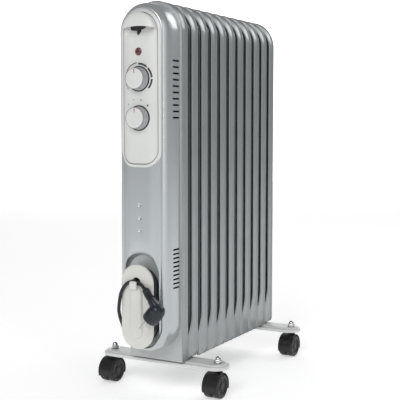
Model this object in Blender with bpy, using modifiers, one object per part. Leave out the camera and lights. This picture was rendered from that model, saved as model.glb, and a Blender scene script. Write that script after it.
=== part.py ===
"""Oil filled radiator heater: eleven pressed steel fins on a common oil space,
a control casing in front, a cord winder, two foot bars and four twin-wheel casters.

Metres, +Z up. The controls face -Y, the row of fins runs along Y and X is the width.
Y in this file is measured from the rear lip of the first fin; the whole heater is
parented to one empty that puts the origin under the middle of the object.
"""
import math

import bmesh
import bpy
from mathutils import Matrix, Vector

GAP = 0.0003

# Fins
FIN_COUNT = 11
FIN_PITCH = 0.03324
FIN_HALF = 0.050
FIN_LOW = 0.0545
FIN_LOW_OVER_BAR = 0.0575
FIN_HIGH = 0.6345
BAND = 0.0196
SHEET = 0.0012
SLOT_TIP = 0.035
SLOT_LOW = 0.130
CORE_HALF = 0.042
CORE_LOW = 0.060
CORE_HIGH = 0.6265
CORE_FRONT = -0.0112
CORE_REAR = 0.0015
HUB_LOW = 0.097
HUB_HIGH = 0.588
HUB_RADIUS = 0.017
HUB_BORE = 0.0115
HUB_SIDES = 10
FILLER_BORE = 0.0055
CORE_STEPS = 6

# Front casing and its back plate
CASE_HALF = 0.046
CASE_LOW = 0.0745
CASE_HIGH = 0.6285
CASE_WALL = 0.0022
PLATE_FRONT = -BAND
PLATE_THICK = 0.0012
ELEMENT_HOLE = 0.0105
CASE_BACK = PLATE_FRONT - GAP
CASE_SIDE_FRONT = -0.0425
CASE_FACE = -0.0665
CASE_FACE_STEPS = [(0.0055, -0.0570), (0.0090, -0.0600), (0.0120, -0.0595), (0.0180, -0.0635),
                   (0.0280, CASE_FACE)]

# Winder bay, spool and plate
BAY_HALF = 0.0308
BAY_LOW = 0.0807
BAY_HIGH = 0.2325
BAY_FLOOR = -0.0525
DISC_HALF = 0.0293
DISC_LOW = 0.0838
DISC_HIGH = 0.2190
DISC_FRONT = -0.077
DISC_THICK = 0.0045
CORD_RADIUS = 0.0028
CORE_RADIUS = 0.016
TURN_CENTRE_LOW = 0.1185
TURN_CENTRE_HIGH = 0.1845
BOOT_LOW = 0.1245
LEAD_HOLE = 0.0050
HOOK_Z = 0.1922
HOOK_X = -0.0015
HOOK_HALF = 0.0060
PLUG_AT = (0.0308, -0.0925, 0.1650)
PLUG_TURN = 41

# Control panel
BEZEL_HALF = 0.0365
BEZEL_LOW = 0.3675
BEZEL_HIGH = 0.6175
PANEL_HALF = 0.0315
PANEL_LOW = 0.3765
PANEL_HIGH = 0.6120
PANEL_PROUD = 0.0012
BEZEL_PROUD = 0.0018
PANEL_FRONT = CASE_FACE - PANEL_PROUD
PANEL_BACK = -0.0595
LIP_Z = 0.586
RECESS_LOW = 0.5745
RECESS_HIGH = 0.5955
RECESS_HALF = 0.0235
RECESS_FLOOR = -0.0555
PANEL_CORNER = 0.021
LAMP_Z = 0.551
THERMOSTAT_Z = 0.5092
SELECTOR_Z = 0.4484
KNOB_FRONT = -0.0815

# Feet
BAR_Y = (0.0088, 0.3094)
BAR_HALF_LENGTH = 0.1178
BAR_HALF_WIDTH = 0.022
BAR_TOP = 0.054
BAR_DEPTH = 0.0085
BAR_WALL = 0.0016
U_ROD = 0.0025
U_LEG = HUB_RADIUS + 0.0005 + U_ROD
CASTER_X = 0.1003
STEM_RADIUS = 0.004
WHEEL_RADIUS = 0.020
WHEEL_SIDES = 16
WHEEL_IN = 0.0016
WHEEL_OUT = 0.0137
AXLE_RADIUS = 0.0025
AXLE_HIGH = WHEEL_RADIUS * math.cos(math.pi / WHEEL_SIDES)
TRAIL = 0.010
FENDER = 0.0223

# Front and rear ends of the rigid object, for the origin
CLIP_FRONT = -0.0868
FILLER_REAR = (FIN_COUNT - 1) * FIN_PITCH + 0.0085
CENTRE_Y = (CLIP_FRONT + FILLER_REAR) / 2


def clear_scene():
    for thing in list(bpy.data.objects):
        bpy.data.objects.remove(thing, do_unlink=True)


def new_collection(name):
    collection = bpy.data.collections.new(name)
    bpy.context.scene.collection.children.link(collection)
    return collection


clear_scene()
PARTS = new_collection("oil_filled_radiator")
CUTTERS = new_collection("cutters")


def material(name, colour, roughness, metallic=0.0):
    made = bpy.data.materials.new(name)
    made.use_nodes = True
    shader = made.node_tree.nodes["Principled BSDF"]
    shader.inputs["Base Color"].default_value = (*colour, 1.0)
    shader.inputs["Roughness"].default_value = roughness
    shader.inputs["Metallic"].default_value = metallic
    made.diffuse_color = (*colour, 1.0)
    return made


FIN_PAINT = material("fin_paint", (0.33, 0.35, 0.36), 0.35, 0.3)
CASE_PAINT = material("casing_paint", (0.42, 0.45, 0.48), 0.3, 0.4)
PLATE_PAINT = material("plate_paint", (0.55, 0.56, 0.56), 0.4)
WHITE = material("white_plastic", (0.82, 0.83, 0.81), 0.35)
WHITE_PAINT = material("white_paint", (0.78, 0.79, 0.78), 0.4)
BLACK = material("black_plastic", (0.02, 0.02, 0.022), 0.4)
CORD_PVC = material("cord_pvc", (0.03, 0.035, 0.045), 0.5)
CHROME = material("chrome", (0.8, 0.8, 0.8), 0.1, 1.0)
STEEL = material("steel", (0.55, 0.55, 0.55), 0.35, 1.0)
BRASS = material("brass", (0.75, 0.6, 0.3), 0.3, 1.0)
LENS_RED = material("lens_red", (0.28, 0.06, 0.07), 0.2)
PHENOLIC = material("phenolic", (0.12, 0.08, 0.06), 0.5)

HEATER = bpy.data.objects.new("heater_frame", None)
HEATER.location = (0, -CENTRE_Y, 0)
PARTS.objects.link(HEATER)


def place(mesh, name, finish, location=(0, 0, 0), parent=HEATER):
    """An object for one piece of the heater."""
    thing = bpy.data.objects.new(name, mesh)
    PARTS.objects.link(thing)
    thing.parent = parent
    thing.location = location
    mesh.materials.clear()
    mesh.materials.append(finish)
    mesh.shade_smooth()
    mesh.set_sharp_from_angle(angle=math.radians(35))
    return thing


def as_cutter(mesh, name, location=(0, 0, 0), parent=HEATER):
    thing = bpy.data.objects.new(name, mesh)
    CUTTERS.objects.link(thing)
    thing.parent = parent
    thing.location = location
    thing.hide_render = True
    thing.display_type = "WIRE"
    return thing


def evaluated(thing):
    """The mesh of an object with its modifiers applied, in the object's own axes."""
    bpy.context.view_layer.update()
    seen = thing.evaluated_get(bpy.context.evaluated_depsgraph_get())
    return bpy.data.meshes.new_from_object(seen)


def boolean(thing, other, operation="DIFFERENCE"):
    step = thing.modifiers.new(other.name, "BOOLEAN")
    step.operation = operation
    step.solver = "EXACT"
    step.object = other
    return thing


def settle(thing):
    """Apply the modifiers of a piece, so that copies can share its mesh."""
    mesh = weld(evaluated(thing))
    thing.modifiers.clear()
    thing.data = mesh
    return thing


def weld(mesh):
    work = bmesh.new()
    work.from_mesh(mesh)
    bmesh.ops.remove_doubles(work, verts=work.verts, dist=0.00001)
    bmesh.ops.recalc_face_normals(work, faces=work.faces)
    work.to_mesh(mesh)
    work.free()
    return mesh


AXES = {
    "X": Matrix(((0, 0, 1), (1, 0, 0), (0, 1, 0))).to_4x4(),
    "Y": Matrix(((1, 0, 0), (0, 0, 1), (0, 1, 0))).to_4x4(),
    "Z": Matrix.Identity(4),
}


def prism(outlines, low, high, axis="Y"):
    """A flat outline, with holes if more than one loop is given, from low to high along an axis.
    Outline points are (x, z) for Y, (y, z) for X and (x, y) for Z."""
    curve = bpy.data.curves.new("outline", "CURVE")
    curve.dimensions = "2D"
    curve.fill_mode = "BOTH"
    curve.extrude = (high - low) / 2
    for outline in outlines:
        spline = curve.splines.new("POLY")
        spline.points.add(len(outline) - 1)
        for point, (across, up) in zip(spline.points, outline):
            point.co = (across, up, 0, 1)
        spline.use_cyclic_u = True
    holder = bpy.data.objects.new("outline", curve)
    CUTTERS.objects.link(holder)
    mesh = evaluated(holder)
    bpy.data.objects.remove(holder)
    bpy.data.curves.remove(curve)
    mesh.transform(Matrix.Translation((0, 0, (low + high) / 2)))
    mesh.transform(AXES[axis])
    return weld(mesh)


def block(low, high, bevel=0.0):
    """A box between two corners, its edges bevelled if asked."""
    work = bmesh.new()
    bmesh.ops.create_cube(work, size=1.0)
    size = Vector(high) - Vector(low)
    bmesh.ops.scale(work, vec=size, verts=work.verts)
    bmesh.ops.translate(work, vec=(Vector(high) + Vector(low)) / 2, verts=work.verts)
    if bevel:
        bmesh.ops.bevel(work, geom=work.edges, offset=bevel, segments=1, affect="EDGES")
    mesh = bpy.data.meshes.new("block")
    work.to_mesh(mesh)
    work.free()
    return mesh


def turned(profile, axis="Z", steps=24, spin=0.0, closed=False):
    """A turned shape. The profile runs down its outer side as (radius, height) and starts and
    ends on the axis, or is a closed loop."""
    mesh = bpy.data.meshes.new("turned")
    count = len(profile)
    edges = [(i, i + 1) for i in range(count - 1)]
    if closed:
        edges.append((count - 1, 0))
    mesh.from_pydata([(radius, 0, height) for radius, height in profile], edges, [])
    holder = bpy.data.objects.new("turned", mesh)
    CUTTERS.objects.link(holder)
    screw = holder.modifiers.new("turn", "SCREW")
    screw.steps = steps
    screw.render_steps = steps
    screw.use_merge_vertices = True
    screw.merge_threshold = 0.00001
    made = evaluated(holder)
    bpy.data.objects.remove(holder)
    made.transform(Matrix.Rotation(spin, 4, "Z"))
    made.transform(AXES[axis])
    return weld(made)


def cylinder(radius, low, high, axis="Y", sides=16, spin=0.0):
    return turned([(0, high), (radius, high), (radius, low), (0, low)], axis, sides, spin)


def tube(points, radius, resolution=2):
    """A round rod or cord along points, with its ends closed."""
    curve = bpy.data.curves.new("rod", "CURVE")
    curve.dimensions = "3D"
    curve.bevel_depth = radius
    curve.bevel_resolution = resolution
    curve.use_fill_caps = True
    spline = curve.splines.new("POLY")
    spline.points.add(len(points) - 1)
    for point, place_at in zip(spline.points, points):
        point.co = (*place_at, 1)
    holder = bpy.data.objects.new("rod", curve)
    CUTTERS.objects.link(holder)
    mesh = evaluated(holder)
    bpy.data.objects.remove(holder)
    return weld(mesh)


def arc(centre, radius, start, end, steps):
    """Points on an arc, angles in degrees from +across towards +up."""
    made = []
    for i in range(steps + 1):
        angle = math.radians(start + (end - start) * i / steps)
        made.append((centre[0] + radius * math.cos(angle), centre[1] + radius * math.sin(angle)))
    return made


def stadium(half, low, high, steps=12):
    """An upright outline with round ends."""
    return arc((0, high - half), half, 0, 180, steps) + arc((0, low + half), half, 180, 360, steps)


def arch(half, low, high, steps=10):
    """An upright outline with a round top and a straight bottom."""
    return arc((0, high - half), half, 0, 180, steps) + [(-half, low), (half, low)]


def bar_outline(half_length, half_width, steps=8):
    """A lying outline with round ends, along X."""
    reach = half_length - half_width
    return arc((reach, 0), half_width, -90, 90, steps) + arc((-reach, 0), half_width, 90, 270, steps)


def panel_outline(half, low, high, corner):
    """Round top, straight sides and rounded lower corners."""
    top = arc((0, high - half), half, 0, 180, 14)
    left = arc((-half + corner, low + corner), corner, 180, 270, 5)
    right = arc((half - corner, low + corner), corner, 270, 360, 5)
    return top + left + right


def ring_loft(rings):
    """A closed solid skinned over upright outlines of equal point count at rising depth."""
    work = bmesh.new()
    rows = []
    for outline, depth in rings:
        rows.append([work.verts.new((across, depth, up)) for across, up in outline])
    for row, following in zip(rows, rows[1:]):
        for i in range(len(row)):
            j = (i + 1) % len(row)
            work.faces.new((row[i], row[j], following[j], following[i]))
    work.faces.new(rows[0])
    work.faces.new(rows[-1])
    bmesh.ops.recalc_face_normals(work, faces=work.faces)
    mesh = bpy.data.meshes.new("loft")
    work.to_mesh(mesh)
    work.free()
    return mesh


# ---------------------------------------------------------------- fins

def slot_outline():
    """Side view of the air slot between two fins: straight sides, and both ends swept forward
    along an arc to a point on the fin in front."""
    front = -FIN_PITCH - 0.001
    depth = FIN_PITCH - BAND
    sweep = 2 * math.atan(depth / SLOT_TIP)
    radius = SLOT_TIP / math.sin(sweep)
    spring = FIN_HIGH - FIN_HALF
    steps = 3
    lower, upper = [], []
    for i in range(steps + 1):
        angle = sweep * i / steps
        y = -BAND - radius * (1 - math.cos(angle))
        run = radius * math.sin(angle)
        lower.append((y, SLOT_LOW - run))
        upper.append((y, spring + FIN_HALF * math.sin(run / FIN_HALF)))
    return upper + [(front, upper[-1][1]), (front, lower[-1][1])] + lower[::-1]


def fin(name, index, low):
    """One pressed fin: a web with a forward flange, a hollow oil panel and two hub collars."""
    first, last = index == 0, index == FIN_COUNT - 1
    band_front = -BAND if first else -FIN_PITCH + GAP
    thing = place(prism([arch(FIN_HALF, low, FIN_HIGH)], band_front, 0), name, FIN_PAINT)
    inner = arch(FIN_HALF - SHEET, low - 0.01, FIN_HIGH - SHEET)
    boolean(thing, as_cutter(prism([inner], -0.05, -SHEET), name + "_tray"))
    if not first:
        slot = prism([slot_outline()], -0.06, 0.06, "X")
        boolean(thing, as_cutter(slot, name + "_slot"))
    core = prism([stadium(CORE_HALF, CORE_LOW, CORE_HIGH, CORE_STEPS)], CORE_FRONT, CORE_REAR)
    boolean(thing, as_cutter(core, name + "_core"), "UNION")
    collar_front = -BAND + PLATE_THICK + GAP if first else -FIN_PITCH + CORE_REAR + GAP
    for level in (HUB_LOW, HUB_HIGH):
        if first and level == HUB_HIGH:
            continue
        collar = cylinder(HUB_RADIUS, collar_front, CORE_FRONT + SHEET / 2, sides=HUB_SIDES)
        collar.transform(Matrix.Translation((0, 0, level)))
        boolean(thing, as_cutter(collar, f"{name}_collar_{level:.3f}"), "UNION")
    space = stadium(CORE_HALF - SHEET, CORE_LOW + SHEET, CORE_HIGH - SHEET, CORE_STEPS)
    oil = prism([space], CORE_FRONT + SHEET, CORE_REAR - SHEET)
    boolean(thing, as_cutter(oil, name + "_oil"))
    middle = (CORE_FRONT + CORE_REAR) / 2
    for level in (HUB_LOW, HUB_HIGH):
        front = middle if first and level == HUB_HIGH else -0.04
        rear = middle if last else 0.01
        profile = [(0, rear), (HUB_BORE, rear), (HUB_BORE, front), (0, front)]
        if last and level == HUB_HIGH:
            profile = [(0, 0.01), (FILLER_BORE, 0.01), (FILLER_BORE, rear)] + profile[1:]
        bore = turned(profile, "Y", HUB_SIDES)
        bore.transform(Matrix.Translation((0, 0, level)))
        boolean(thing, as_cutter(bore, f"{name}_bore_{level:.3f}"))
    settle(thing)
    thing.location.y = index * FIN_PITCH
    return thing


def make_fins():
    fin("fin_01", 0, FIN_LOW)
    fin("fin_02", 1, FIN_LOW_OVER_BAR)
    middle = fin("fin_03", 2, FIN_LOW)
    for number in range(4, FIN_COUNT):
        place(middle.data, f"fin_{number:02d}", FIN_PAINT, (0, (number - 1) * FIN_PITCH, 0))
    fin(f"fin_{FIN_COUNT}", FIN_COUNT - 1, FIN_LOW_OVER_BAR)
    rear = (FIN_COUNT - 1) * FIN_PITCH
    cap = FILLER_REAR - rear
    profile = [(0, cap), (0.0060, cap), (0.0075, cap - 0.0015), (0.0075, CORE_REAR + GAP),
               (0.0050, CORE_REAR + GAP), (0.0050, -0.004), (0, -0.004)]
    place(turned(profile, "Y", 12), "oil_filler_plug", STEEL, (0, rear, HUB_HIGH))


def make_heating_element():
    """Sheathed rod through the lower hubs, with its screwed flange in the casing."""
    end = (FIN_COUNT - 1) * FIN_PITCH - 0.006
    rod_radius = 0.009
    seat = PLATE_FRONT - 0.004
    profile = [(0, end), (rod_radius, end), (rod_radius, seat + 0.001), (0.0065, seat - 0.004),
               (0.0065, -0.037), (0, -0.037)]
    place(turned(profile, "Y", 16), "heating_element", STEEL, (0, 0, HUB_LOW))
    flange = turned([(0.0185, PLATE_FRONT - GAP), (0.0185, seat), (rod_radius + GAP, seat),
                     (rod_radius + GAP, PLATE_FRONT - GAP)], "Y", 16, closed=True)
    place(flange, "element_flange", STEEL, (0, 0, HUB_LOW))


# ---------------------------------------------------------------- casing

def case_outline(inset, steps=12):
    return stadium(CASE_HALF - inset, CASE_LOW + inset, CASE_HIGH - inset, steps)


def make_casing():
    """Plastic shell: straight sides, a round shoulder, a shallow valley and a crowned face."""
    outside = [(0, CASE_BACK), (0, CASE_SIDE_FRONT), (0.0012, -0.0505)] + CASE_FACE_STEPS
    shell = place(ring_loft([(case_outline(inset), y) for inset, y in outside]),
                  "front_casing", CASE_PAINT)
    wall = CASE_WALL
    inside = [(wall, CASE_BACK + 0.005), (wall, CASE_SIDE_FRONT), (0.0075, -0.0560),
              (0.0180, -0.0575), (0.0280, CASE_FACE + wall)]
    hollow = as_cutter(ring_loft([(case_outline(inset), y) for inset, y in inside]), "casing_hollow")
    bay_wall = stadium(BAY_HALF + wall, BAY_LOW - wall, BAY_HIGH + wall)
    boolean(hollow, as_cutter(prism([bay_wall], -0.09, BAY_FLOOR + wall), "bay_wall"))
    boolean(shell, hollow)
    boolean(shell, as_cutter(prism([stadium(BAY_HALF, BAY_LOW, BAY_HIGH)], -0.09, BAY_FLOOR), "bay"))
    window = panel_outline(PANEL_HALF + GAP, PANEL_LOW - GAP, PANEL_HIGH + GAP, PANEL_CORNER + GAP)
    boolean(shell, as_cutter(prism([window], -0.09, -0.05), "panel_window"))
    lead = cylinder(LEAD_HOLE, -0.06, -0.04, sides=12)
    lead.transform(Matrix.Translation((0, 0, BOOT_LOW)))
    boolean(shell, as_cutter(lead, "lead_hole"))
    for group, (low, high) in (("upper", (0.4490, 0.5375)), ("lower", (0.1795, 0.2405))):
        slots = vent_slots(low, high, 10)
        boolean(shell, as_cutter(slots, f"vents_{group}"))


def vent_slots(low, high, count):
    """A row of slots through both side walls, as one mesh of separate bars."""
    work = bmesh.new()
    for i in range(count):
        level = low + (high - low) * i / (count - 1)
        tall = 0.0024
        made = bmesh.ops.create_cube(work, size=1.0)
        bmesh.ops.scale(work, vec=(0.2, 0.0165, tall), verts=made["verts"])
        bmesh.ops.translate(work, vec=(0, -0.0317, level), verts=made["verts"])
    mesh = bpy.data.meshes.new("vents")
    work.to_mesh(mesh)
    work.free()
    return mesh


def make_back_plate():
    inset = SHEET + GAP
    outline = arch(FIN_HALF - inset, FIN_LOW, FIN_HIGH - inset)
    hole = arc((0, HUB_LOW), ELEMENT_HOLE, 0, 360, 16)[:-1]
    place(prism([outline, hole], PLATE_FRONT, PLATE_FRONT + PLATE_THICK), "back_plate", PLATE_PAINT)


# ---------------------------------------------------------------- control panel

def face_loft(proud):
    """The casing's crowned face as a solid, standing proud of the casing by a given amount."""
    rings = [(case_outline(0.0040), -0.0500)]
    rings += [(case_outline(inset), y - proud) for inset, y in CASE_FACE_STEPS[1:]]
    return ring_loft(rings)


def hood_outline(inset):
    """Half disc above the lip of the finger recess."""
    radius = PANEL_HALF - inset
    middle = PANEL_HIGH - PANEL_HALF
    start = math.degrees(math.asin((LIP_Z - middle) / radius))
    return arc((0, middle), radius, start, 180 - start, 12)


def make_panel():
    outer = panel_outline(BEZEL_HALF, BEZEL_LOW, BEZEL_HIGH, PANEL_CORNER + 0.005)
    inner = panel_outline(PANEL_HALF + GAP, PANEL_LOW - GAP, PANEL_HIGH + GAP, PANEL_CORNER + GAP)
    bezel = place(prism([outer, inner], -0.0750, -0.0560), "panel_bezel", WHITE)
    boolean(bezel, as_cutter(face_loft(BEZEL_PROUD), "bezel_face"), "INTERSECT")
    boolean(bezel, as_cutter(face_loft(GAP), "bezel_seat"))

    flat = prism([panel_outline(PANEL_HALF, PANEL_LOW, PANEL_HIGH, PANEL_CORNER)], -0.0750, PANEL_BACK)
    panel = place(flat, "control_panel", WHITE)
    boolean(panel, as_cutter(face_loft(PANEL_PROUD), "panel_face"), "INTERSECT")
    wall = 0.0015
    pocket = block((-RECESS_HALF - wall, PANEL_BACK - wall, RECESS_LOW - wall),
                   (RECESS_HALF + wall, RECESS_FLOOR + wall, RECESS_HIGH + wall))
    boolean(panel, as_cutter(pocket, "recess_box"), "UNION")
    hood = [(0.0005, -0.0635), (0.0025, -0.0690), (0.0080, -0.0735), (0.0160, -0.0755)]
    boolean(panel, as_cutter(ring_loft([(hood_outline(i), y) for i, y in hood]), "hood"), "UNION")
    scoop = [(-0.0850, LIP_Z), (-0.0665, LIP_Z), (-0.0665, RECESS_HIGH), (RECESS_FLOOR, RECESS_HIGH),
             (RECESS_FLOOR, RECESS_LOW), (-0.0640, RECESS_LOW), (-0.0700, RECESS_LOW - 0.0055),
             (-0.0850, RECESS_LOW - 0.0055)]
    boolean(panel, as_cutter(prism([scoop], -RECESS_HALF, RECESS_HALF, "X"), "finger_scoop"))
    for name, level, radius in (("lamp", LAMP_Z, 0.0063), ("thermostat", THERMOSTAT_Z, 0.0045),
                                ("selector", SELECTOR_Z, 0.0045)):
        hole = cylinder(radius, -0.08, -0.05)
        hole.transform(Matrix.Translation((0, 0, level)))
        boolean(panel, as_cutter(hole, f"{name}_hole"))


def make_knob(name, level, body_half, body_tall):
    """A knob on its shaft, and the switch body behind the panel that the shaft enters."""
    back = PANEL_FRONT - 0.0005
    profile = [(0, -0.0785), (0.0033, -0.0785), (0.0033, back), (0.0186, back), (0.0186, back - 0.0030),
               (0.0165, back - 0.0042), (0.0160, KNOB_FRONT + 0.0010), (0.0150, KNOB_FRONT),
               (0, KNOB_FRONT)]
    place(turned(profile, "Y", 20), f"{name}_knob", WHITE, (0, 0, level))
    place(cylinder(0.0030, -0.0780, -0.0480, sides=12), f"{name}_shaft", STEEL, (0, 0, level))
    body = block((-body_half, PANEL_BACK + GAP, -body_tall), (body_half, -0.0430, body_tall), 0.001)
    case = place(body,
                 f"{name}_switch", PHENOLIC, (0, 0, level))
    bore = cylinder(0.0034, -0.0700, -0.0470, sides=12)
    boolean(case, as_cutter(bore, f"{name}_bore", (0, 0, level)))


def make_indicator():
    profile = [(0, -0.0635), (0.0060, -0.0635), (0.0060, -0.0692), (0.0045, -0.0703), (0, -0.0706)]
    place(turned(profile, "Y", 16), "indicator_lens", LENS_RED, (0, 0, LAMP_Z))
    place(cylinder(0.0048, -0.0632, -0.0480, sides=12), "indicator_lamp", BLACK, (0, 0, LAMP_Z))


# ---------------------------------------------------------------- inside the casing

def make_tilt_switch():
    """A box on the back plate with a weight that hangs on a pin and opens the contact when
    the heater falls over."""
    pivot = (0, CASE_BACK, 0.350)
    half, low, high, depth = 0.0165, -0.0280, 0.0070, -0.0190
    box = place(block((-half, depth, low), (half, 0, high)), "tilt_switch_box", BLACK, pivot)
    wall = 0.0018
    room = block((-half + wall, depth - 0.01, low + wall), (half - wall, -wall, high - wall))
    boolean(box, as_cutter(room, "tilt_room", pivot))
    boolean(box, as_cutter(cylinder(0.0018, -0.0175, -0.0010, sides=12), "tilt_pin", pivot), "UNION")
    ring = arc((0, 0), 0.0042, -60, 240, 12)
    weight = [(-0.0050, -0.0100), (-0.0050, -0.0190), (0.0050, -0.0190), (0.0050, -0.0100)]
    outline = ring + [(-0.0021, -0.0100)] + weight + [(0.0021, -0.0100)]
    hole = arc((0, 0), 0.0022, 0, 360, 12)[:-1]
    place(prism([outline, hole], -0.0150, -0.0060), "tilt_pendulum", BRASS, pivot)


def make_thermal_cutout():
    profile = [(0, 0), (0.0095, 0), (0.0095, -0.0020), (0.0075, -0.0020), (0.0075, -0.0090), (0, -0.0090)]
    place(turned(profile, "Y", 16), "thermal_cutout", PHENOLIC, (0, CASE_BACK, 0.285))


# ---------------------------------------------------------------- cord winder, cord and plug

def winding_outline(radius, steps=10):
    return stadium(radius, TURN_CENTRE_LOW - radius, TURN_CENTRE_HIGH + radius, steps)


def make_winder():
    disc_back = DISC_FRONT + DISC_THICK
    spool = place(prism([winding_outline(CORE_RADIUS), winding_outline(CORE_RADIUS - 0.0017)],
                        disc_back + GAP, BAY_FLOOR - GAP), "winder_spool", WHITE)
    lead_slot = block((-0.02, BAY_FLOOR - 0.0080, 0.1540), (-0.008, BAY_FLOOR + 0.001, 0.1900))
    boolean(spool, as_cutter(lead_slot, "lead_slot"))

    disc = place(prism([stadium(DISC_HALF, DISC_LOW, DISC_HIGH, 16)], DISC_FRONT, disc_back),
                 "winder_disc", WHITE)
    post_top = HOOK_Z - CORD_RADIUS - 0.0024
    hook_side = [(DISC_FRONT + 0.001, post_top - 0.006), (CLIP_FRONT + 0.0015, post_top - 0.006),
                 (CLIP_FRONT, post_top - 0.004), (CLIP_FRONT, HOOK_Z),
                 (CLIP_FRONT + 0.0012, HOOK_Z + 0.0012), (CLIP_FRONT + 0.0032, HOOK_Z + 0.0012),
                 (CLIP_FRONT + 0.0032, post_top), (DISC_FRONT + 0.001, post_top)]
    hook = prism([hook_side], HOOK_X - HOOK_HALF, HOOK_X + HOOK_HALF, "X")
    boolean(disc, as_cutter(hook, "hook"), "UNION")
    window_x = HOOK_X + 0.0010
    window = arc((window_x, HOOK_Z - 0.0010), 0.0075, 0, 180, 8)
    window += [(window_x - 0.0075, post_top), (window_x + 0.0075, post_top)]
    boolean(disc, as_cutter(prism([window], DISC_FRONT - 0.001, disc_back + 0.001), "hook_window"))


def tapered_tube(points, radii, sides=12):
    """A round boot along points, its radius changing from point to point."""
    curve = bpy.data.curves.new("boot", "CURVE")
    curve.dimensions = "3D"
    curve.bevel_depth = 1.0
    curve.bevel_resolution = sides // 4 - 1
    curve.use_fill_caps = True
    spline = curve.splines.new("POLY")
    spline.points.add(len(points) - 1)
    for point, place_at, radius in zip(spline.points, points, radii):
        point.co = (*place_at, 1)
        point.radius = radius
    holder = bpy.data.objects.new("boot", curve)
    CUTTERS.objects.link(holder)
    mesh = evaluated(holder)
    bpy.data.objects.remove(holder)
    return weld(mesh)


def smooth_route(points, spacing):
    """Points about a spacing apart on a smooth curve through a route's own points."""
    anchors = [Vector(p) for p in points]
    anchors = [2 * anchors[0] - anchors[1]] + anchors + [2 * anchors[-1] - anchors[-2]]
    fine = []
    for a, b, c, d in zip(anchors, anchors[1:], anchors[2:], anchors[3:]):
        steps = 12
        for i in range(steps):
            t = i / steps
            fine.append(0.5 * (2 * b + (c - a) * t + (2 * a - 5 * b + 4 * c - d) * t * t
                               + (3 * b - a - 3 * c + d) * t ** 3))
    fine.append(anchors[-2])
    lengths = [0.0]
    for p, q in zip(fine, fine[1:]):
        lengths.append(lengths[-1] + (q - p).length)
    count = max(2, round(lengths[-1] / spacing))
    made, k = [], 0
    for i in range(count + 1):
        goal = lengths[-1] * i / count
        while k < len(fine) - 2 and lengths[k + 1] < goal:
            k += 1
        share = (goal - lengths[k]) / max(lengths[k + 1] - lengths[k], 1e-9)
        made.append(fine[k].lerp(fine[k + 1], share))
    return made


# The cord's free stretch: up beside the winding, forward past the disc's edge, over the top
# of the disc through the hook and down to the plug.
CORD_ROUTE = [
    (-0.0245, -0.0692, 0.1000), (-0.0290, -0.0692, 0.1082), (-0.0312, -0.0702, 0.1175),
    (-0.0331, -0.0728, 0.1265), (-0.0332, -0.0764, 0.1355), (-0.0326, -0.0792, 0.1440),
    (-0.0311, -0.0804, 0.1530), (-0.0298, -0.0804, 0.1620), (-0.0275, -0.0803, 0.1719),
    (-0.0230, -0.0803, 0.1806), (-0.0163, -0.0803, 0.1878), (-0.0082, -0.0803, 0.1916),
    (0.0002, -0.0803, 0.1921), (0.0079, -0.0804, 0.1897), (0.0142, -0.0814, 0.1858),
    (0.0203, -0.0837, 0.1814),
]


def make_cord():
    ring = [winding_outline(CORE_RADIUS + GAP + 4 * CORD_RADIUS), winding_outline(CORE_RADIUS + GAP)]
    channel_front = DISC_FRONT + DISC_THICK + GAP
    winding = prism(ring, channel_front + 0.0001, channel_front + 0.0001 + 6 * CORD_RADIUS)
    place(winding, "cord_winding", CORD_PVC)
    place(tube(smooth_route(CORD_ROUTE, 0.012), CORD_RADIUS), "cord_lead", CORD_PVC)
    boot = [(0, BAY_FLOOR + 0.002, BOOT_LOW), (0, -0.0550, BOOT_LOW + 0.0005),
            (-0.0004, -0.0575, BOOT_LOW + 0.0040), (-0.0020, -0.0583, BOOT_LOW + 0.0110),
            (-0.0048, -0.0580, BOOT_LOW + 0.0210), (-0.0078, -0.0575, BOOT_LOW + 0.0295)]
    sleeve = tapered_tube(boot, [0.0046, 0.0046, 0.0052, 0.0048, 0.0040, 0.0033])
    place(sleeve, "cord_strain_relief", BLACK)


def make_plug():
    """Angled earthed plug: a round face with two pins, and a boot along the cord.
    In its own axes the cord comes from -X, the pins point to -Z."""
    middle = 0.0205
    turn = Matrix.Rotation(math.radians(PLUG_TURN), 4, "Y")
    face = [(0, 0.0130), (0.0050, 0.0122), (0.0105, 0.0080), (0.0130, 0.0020),
            (0.0135, -0.0190), (0, -0.0190)]
    head = turned(face, "Z", 16, math.pi / 16)
    head.transform(Matrix.Translation((middle, 0, 0)))
    plug = place(head, "plug", BLACK, PLUG_AT)
    plug.matrix_local = Matrix.Translation(PLUG_AT) @ turn
    pieces = [("grip", block((0.000, -0.0080, -0.0010), (0.020, 0.0080, 0.0115), 0.002))]
    start = turn.inverted() @ (Vector(CORD_ROUTE[-1]) - Vector(PLUG_AT))
    along = (turn.inverted() @ (Vector(CORD_ROUTE[-1]) - Vector(CORD_ROUTE[-2]))).normalized()
    start = start + along * GAP
    boot = [start, start + along * 0.006, Vector((-0.006, 0.0025, 0.0068)), Vector((0.003, 0, 0.0072))]
    pieces.append(("boot", tapered_tube(boot, [0.0040, 0.0045, 0.0052, 0.0052], 12)))
    for side in (-1, 1):
        pin = cylinder(0.0024, -0.0375, -0.0150, "Z", 10)
        pin.transform(Matrix.Translation((middle, side * 0.0095, 0)))
        pieces.append((f"pin_{side}", pin))
    for name, mesh in pieces:
        cutter = as_cutter(mesh, f"plug_{name}")
        cutter.matrix_local = plug.matrix_local
        boolean(plug, cutter, "UNION")


# ---------------------------------------------------------------- feet

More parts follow.
